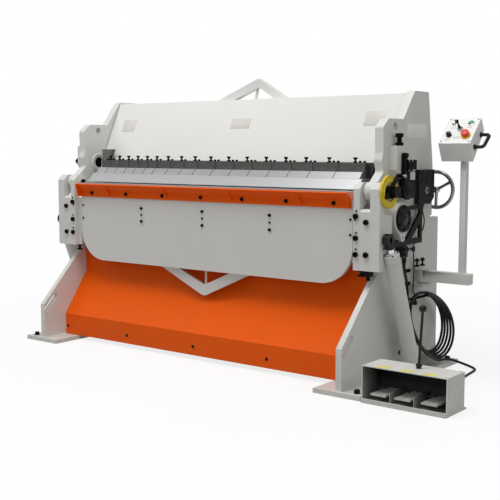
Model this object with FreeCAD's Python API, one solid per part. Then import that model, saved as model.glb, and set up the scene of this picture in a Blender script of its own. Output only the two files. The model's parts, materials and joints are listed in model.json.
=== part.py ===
import FreeCAD, Part
import math
import os

# Hydraulic folding brake for sheet metal, 72 inches (1829 mm) of clamping fingers.
# Shapes are drawn from the bending axis: x to the right, y to the rear, z up, in millimetres.
# save() moves them to the floor frame, whose origin is the centre of the four anchor holes.

V = FreeCAD.Vector
AXIS_Y = -196.0
AXIS_Z = 920.0
FLOOR = -AXIS_Z
INCH = 25.4

# Side frames: an upper plate, a thinner leg and a foot plate, welded together.
SIDE_IN = 1002.0
SIDE_OUT = 1047.0
LEG_IN = 1008.0
LEG_OUT = 1038.0
FOOT_IN = 894.0
FOOT_OUT = 1148.0
FOOT_FRONT = -294.0
FOOT_REAR = 685.0
FOOT_T = 22.0
FOOT_TOP = FLOOR + FOOT_T
LUG_R = 44.0
PIN_R = 18.0
RUN_FIT = 0.05
ANCHOR_X = 1100.0
ANCHOR_Y = 370.0
ANCHOR_R = 11.0
LEVEL_X = 1108.0
LEVEL_Y = (-252.0, 640.0)

# Clamping beam: rests 6 mm above the bed, slides up and down between the side frames.
BEAM_HALF = 996.0
CLAMP_GAP = 6.0
NOSE_Y = 8.0
NOSE_TOP = 54.0
NOSE_REAR = 130.0
NOSE_HALF = 932.0
BASE_Z = 14.0
BEAM_REAR = 458.0
FRONT_WALL = (222.0, 242.0)
COVER_LOW = (195.7, 131.5)
COVER_TOP = (348.0, 470.0)
WALL_TOP = 175.0
SHEET_T = 6.0
END_BLOCK = (915.5, 946.0)
END_BLOCK_TOP = 126.0
CLAMP_RAM_X = 940.0
CLAMP_RAM_Y = 395.0

# Fingers: widths in inches from the left end, and the heights of toe and body.
FINGER_WIDTHS = [3] * 6 + [4] * 3 + [5] * 6 + [6] * 2
FINGER_GAP = 1.2
TOE_TOP = 87.0
FINGER_FRONT = 108.0
FINGER_TOP = 130.0
SCREW_Y = 145.0

# Bending apron, its arms, and the angle on its front.
APRON_FRONT = -44.0
APRON_BACK = -22.0
APRON_X = (-932.0, 944.0)
ANGLE_X = (-932.0, 938.0)
APRON_LOW = -448.0
APRON_CORNER_R = 180.0
ARM_FRONT = -69.0
ARM_BACK = -34.0
ARM_LOW = -368.0
EAR_R = 43.0
EAR_IN = (963.0, 997.0)
EAR_OUT = (1053.0, 1105.0)
NOTCH_Z = -80.0

# Bending cylinders.
RAM_X = 1125.0
RAM_EYE = (-23.0, -221.0)
RAM_FOOT = (231.0, -860.0)
RAM_R = 37.5
ROD_R = 17.0
EYE_R = 30.0
EYE_HALF = 14.0

# Gearbox on the right plate, and the centre and rim radius of its handwheel.
GEARBOX_X = (1055.0, 1077.0)
WHEEL = (1065.0, 564.0, -9.5)
WHEEL_R = 90.5
RIM_R = 9.5

# Pendant arm, its post and the console.
PENDANT_X = 1085.0
PENDANT_Y = 399.0
ARM_TUBE_Z = (-458.0, -405.0)
POST_X = 1296.0
POST_HALF = 15.0
POST_TOP = 134.0
POST_END = 1340.0
SPIGOT_R = 11.0
CONSOLE_X = (1193.0, 1357.0)
PANEL_LOW = (320.0, 224.0)
PANEL_TOP = (441.0, 347.0)

# Places of the controls on the panel: x, and z on the slope.
E_STOP = (1318.0, 262.0)
START = (1317.0, 320.0)
STICK = (1274.0, 292.0)
SELECTOR = (1235.0, 319.0)
KNOB = (1231.0, 262.0)

# Foot switch box.
BOX_X = (1160.5, 1574.5)
BOX_Y = (-300.0, -135.0)
BOX_TOP = -752.0
WALL = 4.0
PARTITION_X = (1296.0, 1413.0)
PARTITION_TOP = -860.0
PEDAL_X = (1242.0, 1362.0, 1490.0)

# Cables.
CABLE_D = 13.0
THIN_D = 6.0


def save(name, shape):
    """Move a shape from the bending axis to the floor frame and write it."""
    moved = shape.copy()
    moved.translate(V(0, AXIS_Y, AXIS_Z))
    moved.exportStep(os.path.join("parts", name + ".step"))


def box(x0, x1, y0, y1, z0, z1):
    """A block between two corners."""
    return Part.makeBox(x1 - x0, y1 - y0, z1 - z0, V(x0, y0, z0))


def face(points):
    """A flat face from its corners."""
    return Part.Face(Part.makePolygon(points + [points[0]]))


def prism_x(outline, x0, x1):
    """An outline of (y, z) corners drawn out along x."""
    return face([V(x0, y, z) for y, z in outline]).extrude(V(x1 - x0, 0, 0))


def prism_y(outline, y0, y1):
    """An outline of (x, z) corners drawn out along y."""
    return face([V(x, y0, z) for x, z in outline]).extrude(V(0, y1 - y0, 0))


def prism_z(outline, z0, z1):
    """An outline of (x, y) corners drawn out along z."""
    return face([V(x, y, z0) for x, y in outline]).extrude(V(0, 0, z1 - z0))


def rod(radius, start, end):
    """A round bar between two points."""
    axis = V(*end) - V(*start)
    return Part.makeCylinder(radius, axis.Length, V(*start), axis)


def rod_x(radius, x0, x1, y, z):
    """A round bar along x."""
    return rod(radius, (x0, y, z), (x1, y, z))


def rod_y(radius, x, y0, y1, z):
    """A round bar along y."""
    return rod(radius, (x, y0, z), (x, y1, z))


def rod_z(radius, x, y, z0, z1):
    """A round bar along z."""
    return rod(radius, (x, y, z0), (x, y, z1))


def fuse(shapes):
    """One solid from several."""
    whole = shapes[0]
    if len(shapes) > 1:
        whole = whole.fuse(shapes[1:])
    return whole.removeSplitter()


def cut(shape, tools):
    """A shape with others taken away."""
    for tool in tools:
        shape = shape.cut(tool)
    return shape


def group(shapes):
    """Separate solids kept in one file."""
    return Part.makeCompound(shapes)


def mirrored(shape):
    """The same shape on the other side of x = 0."""
    return shape.mirror(V(0, 0, 0), V(1, 0, 0))


def both_sides(shape):
    """A shape and its mirror image."""
    return group([shape, mirrored(shape)])


def round_outline(corners):
    """A wire in the yz or xz plane: corners are (point, radius), rounded by arcs."""
    edges = []
    ends = []
    count = len(corners)
    for i in range(count):
        p, r = corners[i]
        before = (corners[i - 1][0] - p).normalize()
        after = (corners[(i + 1) % count][0] - p).normalize()
        if r <= 0:
            ends.append((p, None, p))
            continue
        half = before.getAngle(after) / 2
        reach = r / math.tan(half)
        middle = (before + after).normalize()
        centre = p + middle * (r / math.sin(half))
        ends.append((p + before * reach, centre - middle * r, p + after * reach))
    for i in range(count):
        start, mid, end = ends[i]
        if mid is not None:
            edges.append(Part.Arc(start, mid, end).toShape())
        following = ends[(i + 1) % count][0]
        if (following - end).Length > 1e-6:
            edges.append(Part.LineSegment(end, following).toShape())
    return Part.Wire(edges)


def hex_head(across, height, base, axis):
    """A hexagon bolt head standing on a point."""
    radius = across / math.sqrt(3)
    corners = []
    for i in range(6):
        angle = math.radians(60 * i)
        corners.append(V(radius * math.cos(angle), radius * math.sin(angle), 0))
    head = face(corners).extrude(V(0, 0, height))
    head.Placement = FreeCAD.Placement(V(*base), FreeCAD.Rotation(V(0, 0, 1), V(*axis)))
    return head


# Side frames

def upper_plate():
    """The thick plate from the hinge lug up to the top of the machine."""
    outline = [
        (V(SIDE_IN, 62, -139), 0), (V(SIDE_IN, 62, -60), 20), (V(SIDE_IN, 0, -60), 0),
        (V(SIDE_IN, 0, 38), 0), (V(SIDE_IN, 62, 92), 20), (V(SIDE_IN, 42, 143), 30),
        (V(SIDE_IN, 54, 180), 30), (V(SIDE_IN, 52, 301.7), 20), (V(SIDE_IN, 100, 340.9), 20),
        (V(SIDE_IN, 241.6, 340.9), 0), (V(SIDE_IN, 351.5, 480.6), 12),
        (V(SIDE_IN, 495, 480.6), 12), (V(SIDE_IN, 550, 110), 40), (V(SIDE_IN, 549, -139), 0),
    ]
    plate = Part.Face(round_outline(outline)).extrude(V(SIDE_OUT - SIDE_IN, 0, 0))
    plate = cut(plate, [box(SIDE_IN - 1, SIDE_OUT + 1, -60, 0.01, -70, 45)])
    plate = plate.fuse(rod_x(LUG_R, SIDE_IN, SIDE_OUT, 0, 0))
    plate = plate.fuse(box(SIDE_IN, SIDE_OUT, 0, 62, -44, 38))
    window = rod_x(20, SIDE_IN - 1, SIDE_OUT + 1, 164, 304)
    bore = rod_x(PIN_R, SIDE_IN - 1, SIDE_OUT + 1, 0, 0)
    return cut(plate, [window, bore])


def leg_plate():
    """The leg under the upper plate, with its sloping front and lifting slot."""
    outline = [
        (-277.6, FOOT_TOP), (-277.6, -703), (-5, -420), (24, -400), (62, -139),
        (549, -139), (549, -151), (637, -151), (641, FOOT_TOP),
    ]
    leg = prism_x(outline, LEG_IN, LEG_OUT)
    low = V(0, -262, -735)
    high = V(0, -190, -662)
    along = (high - low).normalize()
    side = V(0, -along.z, along.y) * 13
    corners = [low + side, high + side, high - side, low - side]
    slot = prism_x([(p.y, p.z) for p in corners], LEG_IN - 1, LEG_OUT + 1)
    slot = slot.fuse([
        rod_x(13, LEG_IN - 1, LEG_OUT + 1, low.y, low.z),
        rod_x(13, LEG_IN - 1, LEG_OUT + 1, high.y, high.z),
    ])
    return leg.cut(slot)


def foot_plate():
    """The foot plate with two anchor holes and two levelling screw holes."""
    plate = box(FOOT_IN, FOOT_OUT, FOOT_FRONT, FOOT_REAR, FLOOR, FOOT_TOP)
    holes = []
    for y in (-AXIS_Y - ANCHOR_Y, -AXIS_Y + ANCHOR_Y):
        holes.append(rod_z(ANCHOR_R, ANCHOR_X, y, FLOOR - 1, FOOT_TOP + 1))
    for y in LEVEL_Y:
        holes.append(rod_z(8, LEVEL_X, y, FLOOR - 1, FOOT_TOP + 1))
    return cut(plate, holes)


def ram_shelf():
    """The welded shelf inside the plate that carries a clamping cylinder."""
    shelf = box(880, SIDE_IN, 340, 450, -420, -400)
    web = prism_y([(900, -420), (SIDE_IN, -420), (SIDE_IN, -520)], 388, 402)
    return shelf.fuse([web, box(SIDE_IN, LEG_IN, 340, 450, -520, -400)])


def side_frame():
    """One whole side frame."""
    return fuse([upper_plate(), leg_plate(), foot_plate(), ram_shelf()])


def make_frames():
    """Side frames, levelling screws, beams and covers that stand still."""
    frame = side_frame()
    save("side_frame_left", mirrored(frame))
    save("side_frame_right", frame)
    screws = []
    for y in LEVEL_Y:
        shank = rod_z(7.9, LEVEL_X, y, FLOOR + 0.2, FOOT_TOP + 0.5)
        head = hex_head(30, 18, (LEVEL_X, y, FOOT_TOP), (0, 0, 1))
        screws.append(shank.fuse(head))
    save("levelling_screws", group(screws + [mirrored(s) for s in screws]))
    beam = box(-SIDE_IN, SIDE_IN, 58, 330, -330, -22)
    cells = []
    for i in range(-4, 5):
        cells.append(box(i * 218 - 103, i * 218 + 103, 83, 305, -305, -47))
    save("bed_beam", cut(beam, cells))
    nose = prism_x([(1, 0), (58, 0), (58, -62), (42, -62), (1, -14)], -958, 958)
    top = box(-SIDE_IN, SIDE_IN, 58, 330, -22, 0)
    save("bed_plate", fuse([nose, top]))
    low_front = box(-LEG_IN, LEG_IN, -80, -10, FOOT_TOP, -818)
    low_rear = box(-LEG_IN, LEG_IN, 520, 600, FOOT_TOP, -818)
    shelf = box(-420, 420, -80, 600, -818, -810)
    high_rear = box(-LEG_IN, LEG_IN, 520, 580, -300, -200)
    save("cross_members", fuse([low_front, shelf, low_rear]).fuse(high_rear))


def make_front_cover():
    """The folded orange sheet between the legs."""
    outer = [(-117, -896), (-117, -776), (53, -536), (53, -300)]
    inner = [(58, -300), (58, -537.5), (-112, -777.5), (-112, -896)]
    save("front_cover", prism_x(outer + inner, -LEG_IN + 2, LEG_IN - 2))


def make_hinge_pins():
    """The two pins on the bending axis."""
    pin = rod_x(PIN_R, 958.5, EAR_OUT[1], 0, 0)
    save("hinge_pins", both_sides(pin))


def guide_block(width):
    """An outer block with a rounded, drilled lug at its foot."""
    x0 = SIDE_OUT
    x1 = SIDE_OUT + width
    body = box(x0, x1, 106, 205, 100, 213)
    lug = prism_x([(106, 100), (205, 100), (186, 62), (132, 56)], x0, x1)
    return fuse([body, lug]).cut(rod_x(6, x1 - 12, x1 + 1, 158, 84))


def make_guides():
    """Outer guide blocks and the jack screws above them."""
    save("guide_blocks", group([guide_block(45), mirrored(guide_block(78))]))
    screw = fuse([
        rod_z(19, 1075, 155, 213, 229),
        rod_z(12, 1075, 155, 229, 253),
        rod_z(19, 1075, 155, 253, 272),
    ])
    knob = fuse([rod_x(24, -1165, -1125, 150, 121), rod_x(12, -1185, -1165, 150, 121)])
    inner_knob = rod_x(30, -SIDE_IN, -SIDE_IN + 3, 164, 115)
    save("jack_screws", group([screw, mirrored(screw), knob, inner_knob]))


# Clamping beam

def cover_inside():
    """The two ends of the slope on the inner side of the cover's sheet."""
    slope = SHEET_T * 1.1
    return (COVER_LOW[0] + slope, COVER_LOW[1]), (COVER_TOP[0] + slope * 0.6, COVER_TOP[1] - SHEET_T)


def beam_section():
    """The closed outline inside the cover, used by end plates and ribs."""
    y0 = FRONT_WALL[0]
    low, high = cover_inside()
    meet = low[1] + (y0 - low[0]) * (high[1] - low[1]) / (high[0] - low[0])
    return [(y0, NOSE_TOP), (BEAM_REAR, NOSE_TOP), (BEAM_REAR, high[1]), high, (y0, meet)]


def make_beam():
    """Beam weldment, its cover with the truss on top, and the nose bar."""
    base = box(-BEAM_HALF, BEAM_HALF, NOSE_REAR, BEAM_REAR, BASE_Z, NOSE_TOP)
    base = base.cut(box(-920, 920, 270, 350, BASE_Z - 1, NOSE_TOP + 1))
    wall = box(-BEAM_HALF, BEAM_HALF, FRONT_WALL[0], FRONT_WALL[1], NOSE_TOP, WALL_TOP)
    back = box(-BEAM_HALF, BEAM_HALF, BEAM_REAR - 20, BEAM_REAR, NOSE_TOP, COVER_TOP[1] - SHEET_T)
    ends = [prism_x(beam_section(), s * 985 - 11, s * 985 + 11) for s in (-1, 1)]
    ribs = [prism_x(beam_section(), x - 6, x + 6) for x in range(-800, 801, 200)]
    block = box(END_BLOCK[0], END_BLOCK[1], 135, FRONT_WALL[0], NOSE_TOP, END_BLOCK_TOP)
    outline = [(-964, 194), (-878, 194), (-902, 146), (-905, 131), (-915.5, 131)]
    outline += [(-915.5, END_BLOCK_TOP), (-946, END_BLOCK_TOP), (-946, 131), (-964, 131)]
    wedge = prism_y(outline, 160, 190)
    save("beam_body", fuse([base, wall, back, block, mirrored(block), wedge] + ends + ribs))
    low, high = cover_inside()
    outline = [COVER_LOW, COVER_TOP, (BEAM_REAR, COVER_TOP[1]), (BEAM_REAR, high[1]), high, low]
    sheet = prism_x(outline, -BEAM_HALF, BEAM_HALF)
    top = COVER_TOP[1]
    frame = prism_y([(-252, top), (40, top + 114), (50, top + 114), (240, top)], 395, 431)
    hole = prism_y([(-134, top), (32, top + 63), (56, top + 63), (160, top)], 394, 432)
    strut = rod(8, (12, 413, top - 2), (32, 413, top + 70))
    truss = frame.cut(hole).fuse(strut)
    save("beam_cover", fuse([sheet, truss]))
    nose = [
        (NOSE_Y, CLAMP_GAP), (NOSE_Y + NOSE_TOP - CLAMP_GAP, NOSE_TOP),
        (NOSE_REAR, NOSE_TOP), (NOSE_REAR, CLAMP_GAP),
    ]
    save("nose_bar", prism_x(nose, -NOSE_HALF, NOSE_HALF))


def finger_edges():
    """The x of each finger's two sides, with its width in inches."""
    x = -sum(FINGER_WIDTHS) * INCH / 2
    spans = []
    for width in FINGER_WIDTHS:
        spans.append((x, x + width * INCH, width))
        x += width * INCH
    return spans


def make_fingers():
    """Clamping fingers in four widths, and the screws that hold them."""
    toe = NOSE_Y + NOSE_TOP - CLAMP_GAP
    outline = [
        (toe, NOSE_TOP), (toe + TOE_TOP - NOSE_TOP, TOE_TOP), (FINGER_FRONT, TOE_TOP),
        (FINGER_FRONT, FINGER_TOP), (FRONT_WALL[0], FINGER_TOP), (FRONT_WALL[0], NOSE_TOP),
    ]
    sets = {}
    screws = []
    for x0, x1, width in finger_edges():
        finger = prism_x(outline, x0 + FINGER_GAP / 2, x1 - FINGER_GAP / 2)
        middle = (x0 + x1) / 2
        hole = rod_z(5.5, middle, SCREW_Y, FINGER_TOP - 13, FINGER_TOP + 1)
        sets.setdefault(width, []).append(finger.cut(hole))
        stud = rod_z(5, middle, SCREW_Y, FINGER_TOP - 12, 155)
        collar = rod_z(10, middle, SCREW_Y, FINGER_TOP, 138)
        bar = rod_x(4, middle - 13, middle + 13, SCREW_Y, 153)
        screws.append(fuse([stud, collar, bar]))
        steps = (24,) if width < 5 else (24, 50)
        for step in steps:
            screws.append(rod_z(6, middle + step, SCREW_Y + 5, FINGER_TOP, FINGER_TOP + 9))
    for width, fingers in sets.items():
        save("fingers_%d_inch" % width, group(fingers))
    save("finger_screws", group(screws))


def make_clamp_rams():
    """The two upright cylinders that work the beam."""
    barrel = rod_z(45, CLAMP_RAM_X, CLAMP_RAM_Y, -400, -60)
    bore = rod_z(30, CLAMP_RAM_X, CLAMP_RAM_Y, -380, -90)
    gland = rod_z(20 + RUN_FIT, CLAMP_RAM_X, CLAMP_RAM_Y, -91, -59)
    port = rod_y(9, CLAMP_RAM_X, CLAMP_RAM_Y - 62, CLAMP_RAM_Y - 35, -360)
    barrel = cut(barrel.fuse(port), [bore, gland])
    save("clamp_cylinders", both_sides(barrel))
    shaft = rod_z(20, CLAMP_RAM_X, CLAMP_RAM_Y, -240, BASE_Z)
    piston = rod_z(30 - RUN_FIT, CLAMP_RAM_X, CLAMP_RAM_Y, -270, -240)
    save("clamp_rods", both_sides(shaft.fuse(piston)))


# Bending apron

def ear_outline():
    """The ear of an arm in front of the hinge axis."""
    return [
        (ARM_FRONT, NOTCH_Z), (ARM_FRONT, 14), (ARM_FRONT + 29, EAR_R), (0, EAR_R),
        (0, -EAR_R), (ARM_BACK, NOTCH_Z),
    ]


def arm():
    """An apron arm: two ears, the web below, the flange behind the apron, the crank lug."""
    shapes = [box(EAR_IN[0], EAR_OUT[1], ARM_FRONT, ARM_BACK, ARM_LOW, NOTCH_Z)]
    for x0, x1 in (EAR_IN, EAR_OUT):
        shapes.append(prism_x(ear_outline(), x0, x1))
        shapes.append(rod_x(EAR_R, x0, x1, 0, 0))
    shapes.append(box(945, 1000, ARM_BACK, -4, ARM_LOW, -90))
    shapes.append(box(905, 1000, APRON_BACK, -4, -340, -90))
    lug = [(ARM_BACK, -100), (44, -112), (44, -190), (8, -245), (ARM_BACK, -255)]
    shapes.append(prism_x(lug, 1080, EAR_OUT[1]))
    shapes.append(rod_x(17, 1080, 1109.5, *RAM_EYE))
    solid = fuse(shapes)
    bevel = [(ARM_FRONT - 1, NOTCH_Z - 13), (ARM_FRONT - 1, NOTCH_Z + 1), (ARM_FRONT + 13, NOTCH_Z + 1)]
    notch = prism_x(bevel, EAR_IN[1], EAR_OUT[0])
    bores = [rod_x(PIN_R + RUN_FIT, x0 - 1, x1 + 1, 0, 0) for x0, x1 in (EAR_IN, EAR_OUT)]
    return cut(solid, [notch] + bores)


def make_apron():
    """Apron plate with its truss, blade, angle, arms, bolts and dial."""
    low = APRON_LOW
    outline = [
        (V(APRON_X[0], APRON_FRONT, -41.5), 0), (V(APRON_X[1], APRON_FRONT, -41.5), 0),
        (V(APRON_X[1], APRON_FRONT, low), APRON_CORNER_R),
        (V(APRON_X[0], APRON_FRONT, low), APRON_CORNER_R),
    ]
    plate = Part.Face(round_outline(outline)).extrude(V(0, APRON_BACK - APRON_FRONT, 0))
    outer = prism_y([(-422, -400), (422, -400), (0, -587)], APRON_BACK, -8)
    inner = prism_y([(-300, -399), (300, -399), (0, -528)], APRON_BACK - 1, -7)
    truss = outer.cut(inner).fuse(rod_z(6, 10, -15, -548, -380))
    save("apron_plate", fuse([plate, truss]))
    save("apron_blade", box(-952, 952, APRON_FRONT, -1, -41.5, -1.5))
    lip = [(-50, -80), (-50, -45), (-90.2, -8.2), (-86, -3.9), (-44, -42), (-44, -80)]
    shapes = [prism_x(lip, *ANGLE_X)]
    for x in (-690, -240, 215, 652):
        shapes.append(prism_x([(-50, -78), (-50, -45), (-82, -16)], x - 3, x + 3))
    for x in (ANGLE_X[0], ANGLE_X[1] - 5):
        shapes.append(prism_x([(-50, -80), (-50, -45), (-90, -9), (-72, -80)], x, x + 5))
    save("apron_angle", fuse(shapes))
    save("apron_arm_right", arm())
    save("apron_arm_left", mirrored(arm()))


def make_apron_bolts():
    """Bolt heads on arms, apron and angle, and the adjusters under the arms."""
    heads = []
    for side in (-1, 1):
        for x, z in ((978, -114), (978, -216), (978, -293), (1034, -140), (1034, -292)):
            heads.append(rod_y(11, side * x, ARM_FRONT - 11, ARM_FRONT, z))
        for x, z in ((979, -89), (979, -191), (979, -268), (948 + 24, -131)):
            heads.append(rod_y(5, side * x, ARM_FRONT - 5, ARM_FRONT, z))
    for x in (-916, 933):
        for z in (-133, -206):
            heads.append(rod_y(6, x, APRON_FRONT - 5, APRON_FRONT, z))
    for x in (-439, 10, 457):
        for z in (-133, -170, -206):
            heads.append(rod_y(8, x, APRON_FRONT - 8, APRON_FRONT, z))
    for i in range(7):
        heads.append(hex_head(17, 8, (4 + (i - 3) * 279, -50, -58), (0, -1, 0)))
    save("apron_bolts", group(heads))
    screw = fuse([
        rod_z(16, 981, -19, ARM_LOW - 10, ARM_LOW),
        rod_z(8, 981, -19, ARM_LOW - 24, ARM_LOW - 10),
        rod_z(16, 981, -19, ARM_LOW - 34, ARM_LOW - 24),
    ])
    block = box(1014, 1050, -62, -26, ARM_LOW - 27, ARM_LOW)
    stem = rod_z(9, 1032, -44, ARM_LOW - 47, ARM_LOW - 27)
    save("apron_adjusters", group([screw, mirrored(screw), block.fuse(stem)]))


def make_dial():
    """The yellow angle dial on the right arm, and the stop lever that is set on it."""
    ring = rod_x(77, EAR_OUT[1], 1118, 0, 0).cut(rod_x(45, 1104, 1119, 0, 0))
    save("angle_dial", ring)
    x0 = 1118.3
    hub = rod_x(30, EAR_OUT[1] + 0.5, 1130, 0, 0)
    jaw = box(x0, 1145, -5, 55, -26, 25)
    tail = V(0, -46, -26)
    tip = V(0, 66, 79)
    along = (tip - tail).normalize()
    side = V(0, -along.z, along.y) * 9
    corners = [tail + side, tip + side, tip - side, tail - side]
    bar = prism_x([(p.y, p.z) for p in corners], x0, 1130)
    pin = rod_x(6, 1124, 1158, 75, 72)
    boss = rod_x(12, 1118.3, 1130, 72, 72)
    save("stop_lever", fuse([hub, jaw, bar, boss, pin]))


# Bending cylinders

def make_rams():
    """Barrels that swing on the foot plates, and rods with an eye on top."""
    foot = V(RAM_X, *RAM_FOOT)
    eye = V(RAM_X, *RAM_EYE)
    length = (eye - foot).Length
    along = (eye - foot).normalize()

    def at(distance):
        p = foot + along * distance
        return (p.x, p.y, p.z)

    tube = rod(RAM_R, at(62), at(length - 78))
    cap = rod(RAM_R + 5, at(44), at(100))
    head = rod(RAM_R + 1.5, at(length - 112), at(length - 74))
    tang = fuse([rod_x(24, RAM_X - 12, RAM_X + 12, *RAM_FOOT), rod(9, at(18), at(46))])
    port = rod_x(9, RAM_X - 52, RAM_X - 30, *at(72)[1:])
    barrel = fuse([tube, cap, head, tang, port])
    bore = rod(30, at(104), at(length - 110))
    gland = rod(ROD_R + RUN_FIT, at(length - 112), at(length - 60))
    pin_hole = rod_x(12 + RUN_FIT, RAM_X - 30, RAM_X + 30, *RAM_FOOT)
    barrel = cut(barrel, [bore, gland, pin_hole])
    save("ram_barrel_right", barrel)
    save("ram_barrel_left", mirrored(barrel))
    shaft = rod(ROD_R, at(110), at(length - 20))
    piston = rod(30 - RUN_FIT, at(110), at(140))
    ring = rod_x(EYE_R, RAM_X - EYE_HALF, RAM_X + EYE_HALF, *RAM_EYE)
    nut = rod(18.5, at(length - 44), at(length - 18))
    ram = fuse([shaft, piston, ring, nut]).cut(rod_x(13, RAM_X - 20, RAM_X + 20, *RAM_EYE))
    save("ram_rod_right", ram)
    save("ram_rod_left", mirrored(ram))
    cheeks = []
    for x0, x1 in ((RAM_X - 30, RAM_X - 14), (RAM_X + 14, RAM_X + 23)):
        outline = [
            (V(x0, 190, FOOT_TOP), 0), (V(x0, 272, FOOT_TOP), 0),
            (V(x0, 262, -832), 22), (V(x0, 200, -832), 22),
        ]
        cheeks.append(Part.Face(round_outline(outline)).extrude(V(x1 - x0, 0, 0)))
    pin = rod_x(12, RAM_X - 36, RAM_X + 29, *RAM_FOOT)
    bracket = fuse(cheeks + [pin])
    save("ram_brackets", both_sides(bracket))


# Right-hand drive and switches

def make_drive():
    """Bracket, gearbox, handwheel, bearing housing and switches on the right plate."""
    x0 = 1064
    x1 = 1076
    low = box(x0, x1, 9, 396, -266, -238).fuse(box(x0, x1, 5, 240, -272, -236))
    post = box(x0, x1, 370, 396, -266, -74)
    high = box(x0, x1, 240, 396, -97, -78)
    diagonal = prism_x([(230, -250), (274, -250), (376, -163), (376, -110)], x0, x1)
    spacers = [rod_x(11, LEG_OUT, x0, y, -251) for y in (90, 300)]
    spacers.append(rod_x(11, LEG_OUT, x0, 382, -180))
    save("gearbox_bracket", fuse([low, post, high, diagonal] + spacers))
    outline = [(354, -74), (436, -74), (475, -78), (514, -45), (514, 95), (354, 95)]
    body = prism_x(outline, *GEARBOX_X)
    face_x = GEARBOX_X[1]
    tools = [rod_x(6, face_x - 8, face_x + 1, y, z) for y in (383, 434, 492) for z in (47, 78)]
    tools.append(rod_x(20, face_x - 3, face_x + 1, 442, -8).cut(rod_x(8, face_x - 4, face_x + 2, 442, -8)))
    tools.append(rod_y(6 + RUN_FIT, WHEEL[0], 478, 515, WHEEL[2]))
    block = box(SIDE_OUT, GEARBOX_X[0], 380, 470, -60, 80)
    save("gearbox_housing", cut(body, tools).fuse(block))
    housing = fuse([
        rod_x(78, SIDE_OUT, 1092, 168, -133),
        prism_x([(100, -165), (236, -165), (192, -226), (154, -226)], x1, 1092),
        rod_x(20, x1, 1092, 173, -225),
    ])
    save("bearing_housing", cut(housing, [rod_x(8, 1082, 1093, 173, -226)]))
    save("bearing_cover", rod_x(65, 1092, 1104, 168, -133))
    bar = fuse([box(1094, 1114, 144, 168, 27, 168), rod_x(12, 1094, 1114, 156, 168)])
    shapes = [bar, box(1094, 1120, 168, 212, 92, 146), box(1076, 1112, 212, 262, 99, 146)]
    shapes.append(box(SIDE_OUT, 1076, 208, 256, 104, 140))
    shapes.append(box(1094, 1110, 168, 192, 30, 92))
    shapes.append(box(SIDE_OUT, 1100, 206, 275, -38, 92))
    shapes.append(rod_x(44, 1100, 1112, 182, 0))
    shapes.append(rod_x(24, 1078, 1101, 182, 0))
    shapes.append(rod_x(18, SIDE_OUT, 1080, 186, 0))
    shapes.append(rod_x(16, 1111, 1122, 182, 0))
    save("limit_switches", fuse(shapes))


def make_handwheel():
    """The handwheel behind the gearbox."""
    x, y, z = WHEEL
    rim = Part.makeTorus(WHEEL_R, RIM_R, V(x, y, z), V(0, 1, 0))
    hub = rod_y(16, x, y - 26, y + 12, z)
    shaft = rod_y(6, x, 482, y, z)
    spokes = []
    for degrees in (28, 148, 268):
        angle = math.radians(degrees)
        tip = (x + WHEEL_R * math.cos(angle), y, z + WHEEL_R * math.sin(angle))
        spokes.append(rod(7, (x, y, z), tip))
    save("handwheel", fuse([rim, hub, shaft] + spokes))


# Pendant and console

def make_pendant():
    """The bracket, the swinging arm with its post, and the console."""
    z0, z1 = ARM_TUBE_Z
    back = box(LEG_OUT, LEG_OUT + 10, 273, 460, z0 - 24, z1 + 18)
    shapes = [back, rod_z(12, PENDANT_X, PENDANT_Y, z0 - 12, z1 + 6)]
    for low in (z1 + 6, z0 - 24):
        shapes.append(box(LEG_OUT + 10, 1110, 345, 453, low, low + 12))
    for y in (375, 432):
        shapes.append(rod_z(5, 1062, y, z1 + 18, z1 + 60))
        shapes.append(rod_z(10, 1062, y, z1 + 44, z1 + 54))
    for y in (286, 314):
        for z in (z1 + 4, z0 - 8):
            shapes.append(rod_x(8, LEG_OUT + 10, LEG_OUT + 18, y, z))
    save("pendant_bracket", fuse(shapes))
    hub = rod_z(27, PENDANT_X, PENDANT_Y, z0 - 5, z1 + 1)
    tube = box(PENDANT_X, POST_END, PENDANT_Y - 25, PENDANT_Y + 25, z0, z1)
    post = box(
        POST_X - POST_HALF, POST_X + POST_HALF, PENDANT_Y - POST_HALF, PENDANT_Y + POST_HALF, z1, POST_TOP,
    )
    spigot = rod_z(SPIGOT_R, POST_X, PENDANT_Y, POST_TOP, POST_TOP + 38)
    swing = fuse([hub, tube, post, spigot]).cut(rod_z(12 + RUN_FIT, PENDANT_X, PENDANT_Y, z0 - 6, z1 + 2))
    save("pendant_arm", swing)
    x0, x1 = CONSOLE_X
    case = prism_x([(360, 138), PANEL_LOW, PANEL_TOP, (474, 285)], x0, x1)
    collar = rod_z(19, POST_X, PENDANT_Y, POST_TOP + 0.5, 240)
    socket = rod_z(SPIGOT_R + RUN_FIT, POST_X, PENDANT_Y, POST_TOP, POST_TOP + 38.5)
    holes = [socket]
    for place in (E_STOP, START):
        holes.append(rod(11.3, panel_point(*place, -14), panel_point(*place, 2)))
    boot = rod(14, panel_point(*STICK, -1), panel_point(*STICK, 7))
    boot = boot.cut(rod(9, panel_point(*STICK, 0), panel_point(*STICK, 8)))
    save("console", cut(fuse([case, collar, boot]), holes))
    high = (x1 + 46, 438, 265)
    low = (x1 + 46, 370, 207)
    handle = fuse([
        rod(8.5, (x1, 438, 265), high), rod(8.5, high, low), rod(8.5, (x1, 370, 207), low),
        Part.makeSphere(8.5, V(*high)), Part.makeSphere(8.5, V(*low)),
    ])
    save("console_handle", handle)


def panel_point(x, z, lift):
    """A point above the sloping panel, at height z on the panel."""
    share = (z - PANEL_LOW[1]) / (PANEL_TOP[1] - PANEL_LOW[1])
    y = PANEL_LOW[0] + share * (PANEL_TOP[0] - PANEL_LOW[0])
    across = V(0, PANEL_LOW[1] - PANEL_TOP[1], PANEL_TOP[0] - PANEL_LOW[0]).normalize()
    p = V(x, y, z) + across * lift
    return (p.x, p.y, p.z)


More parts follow.
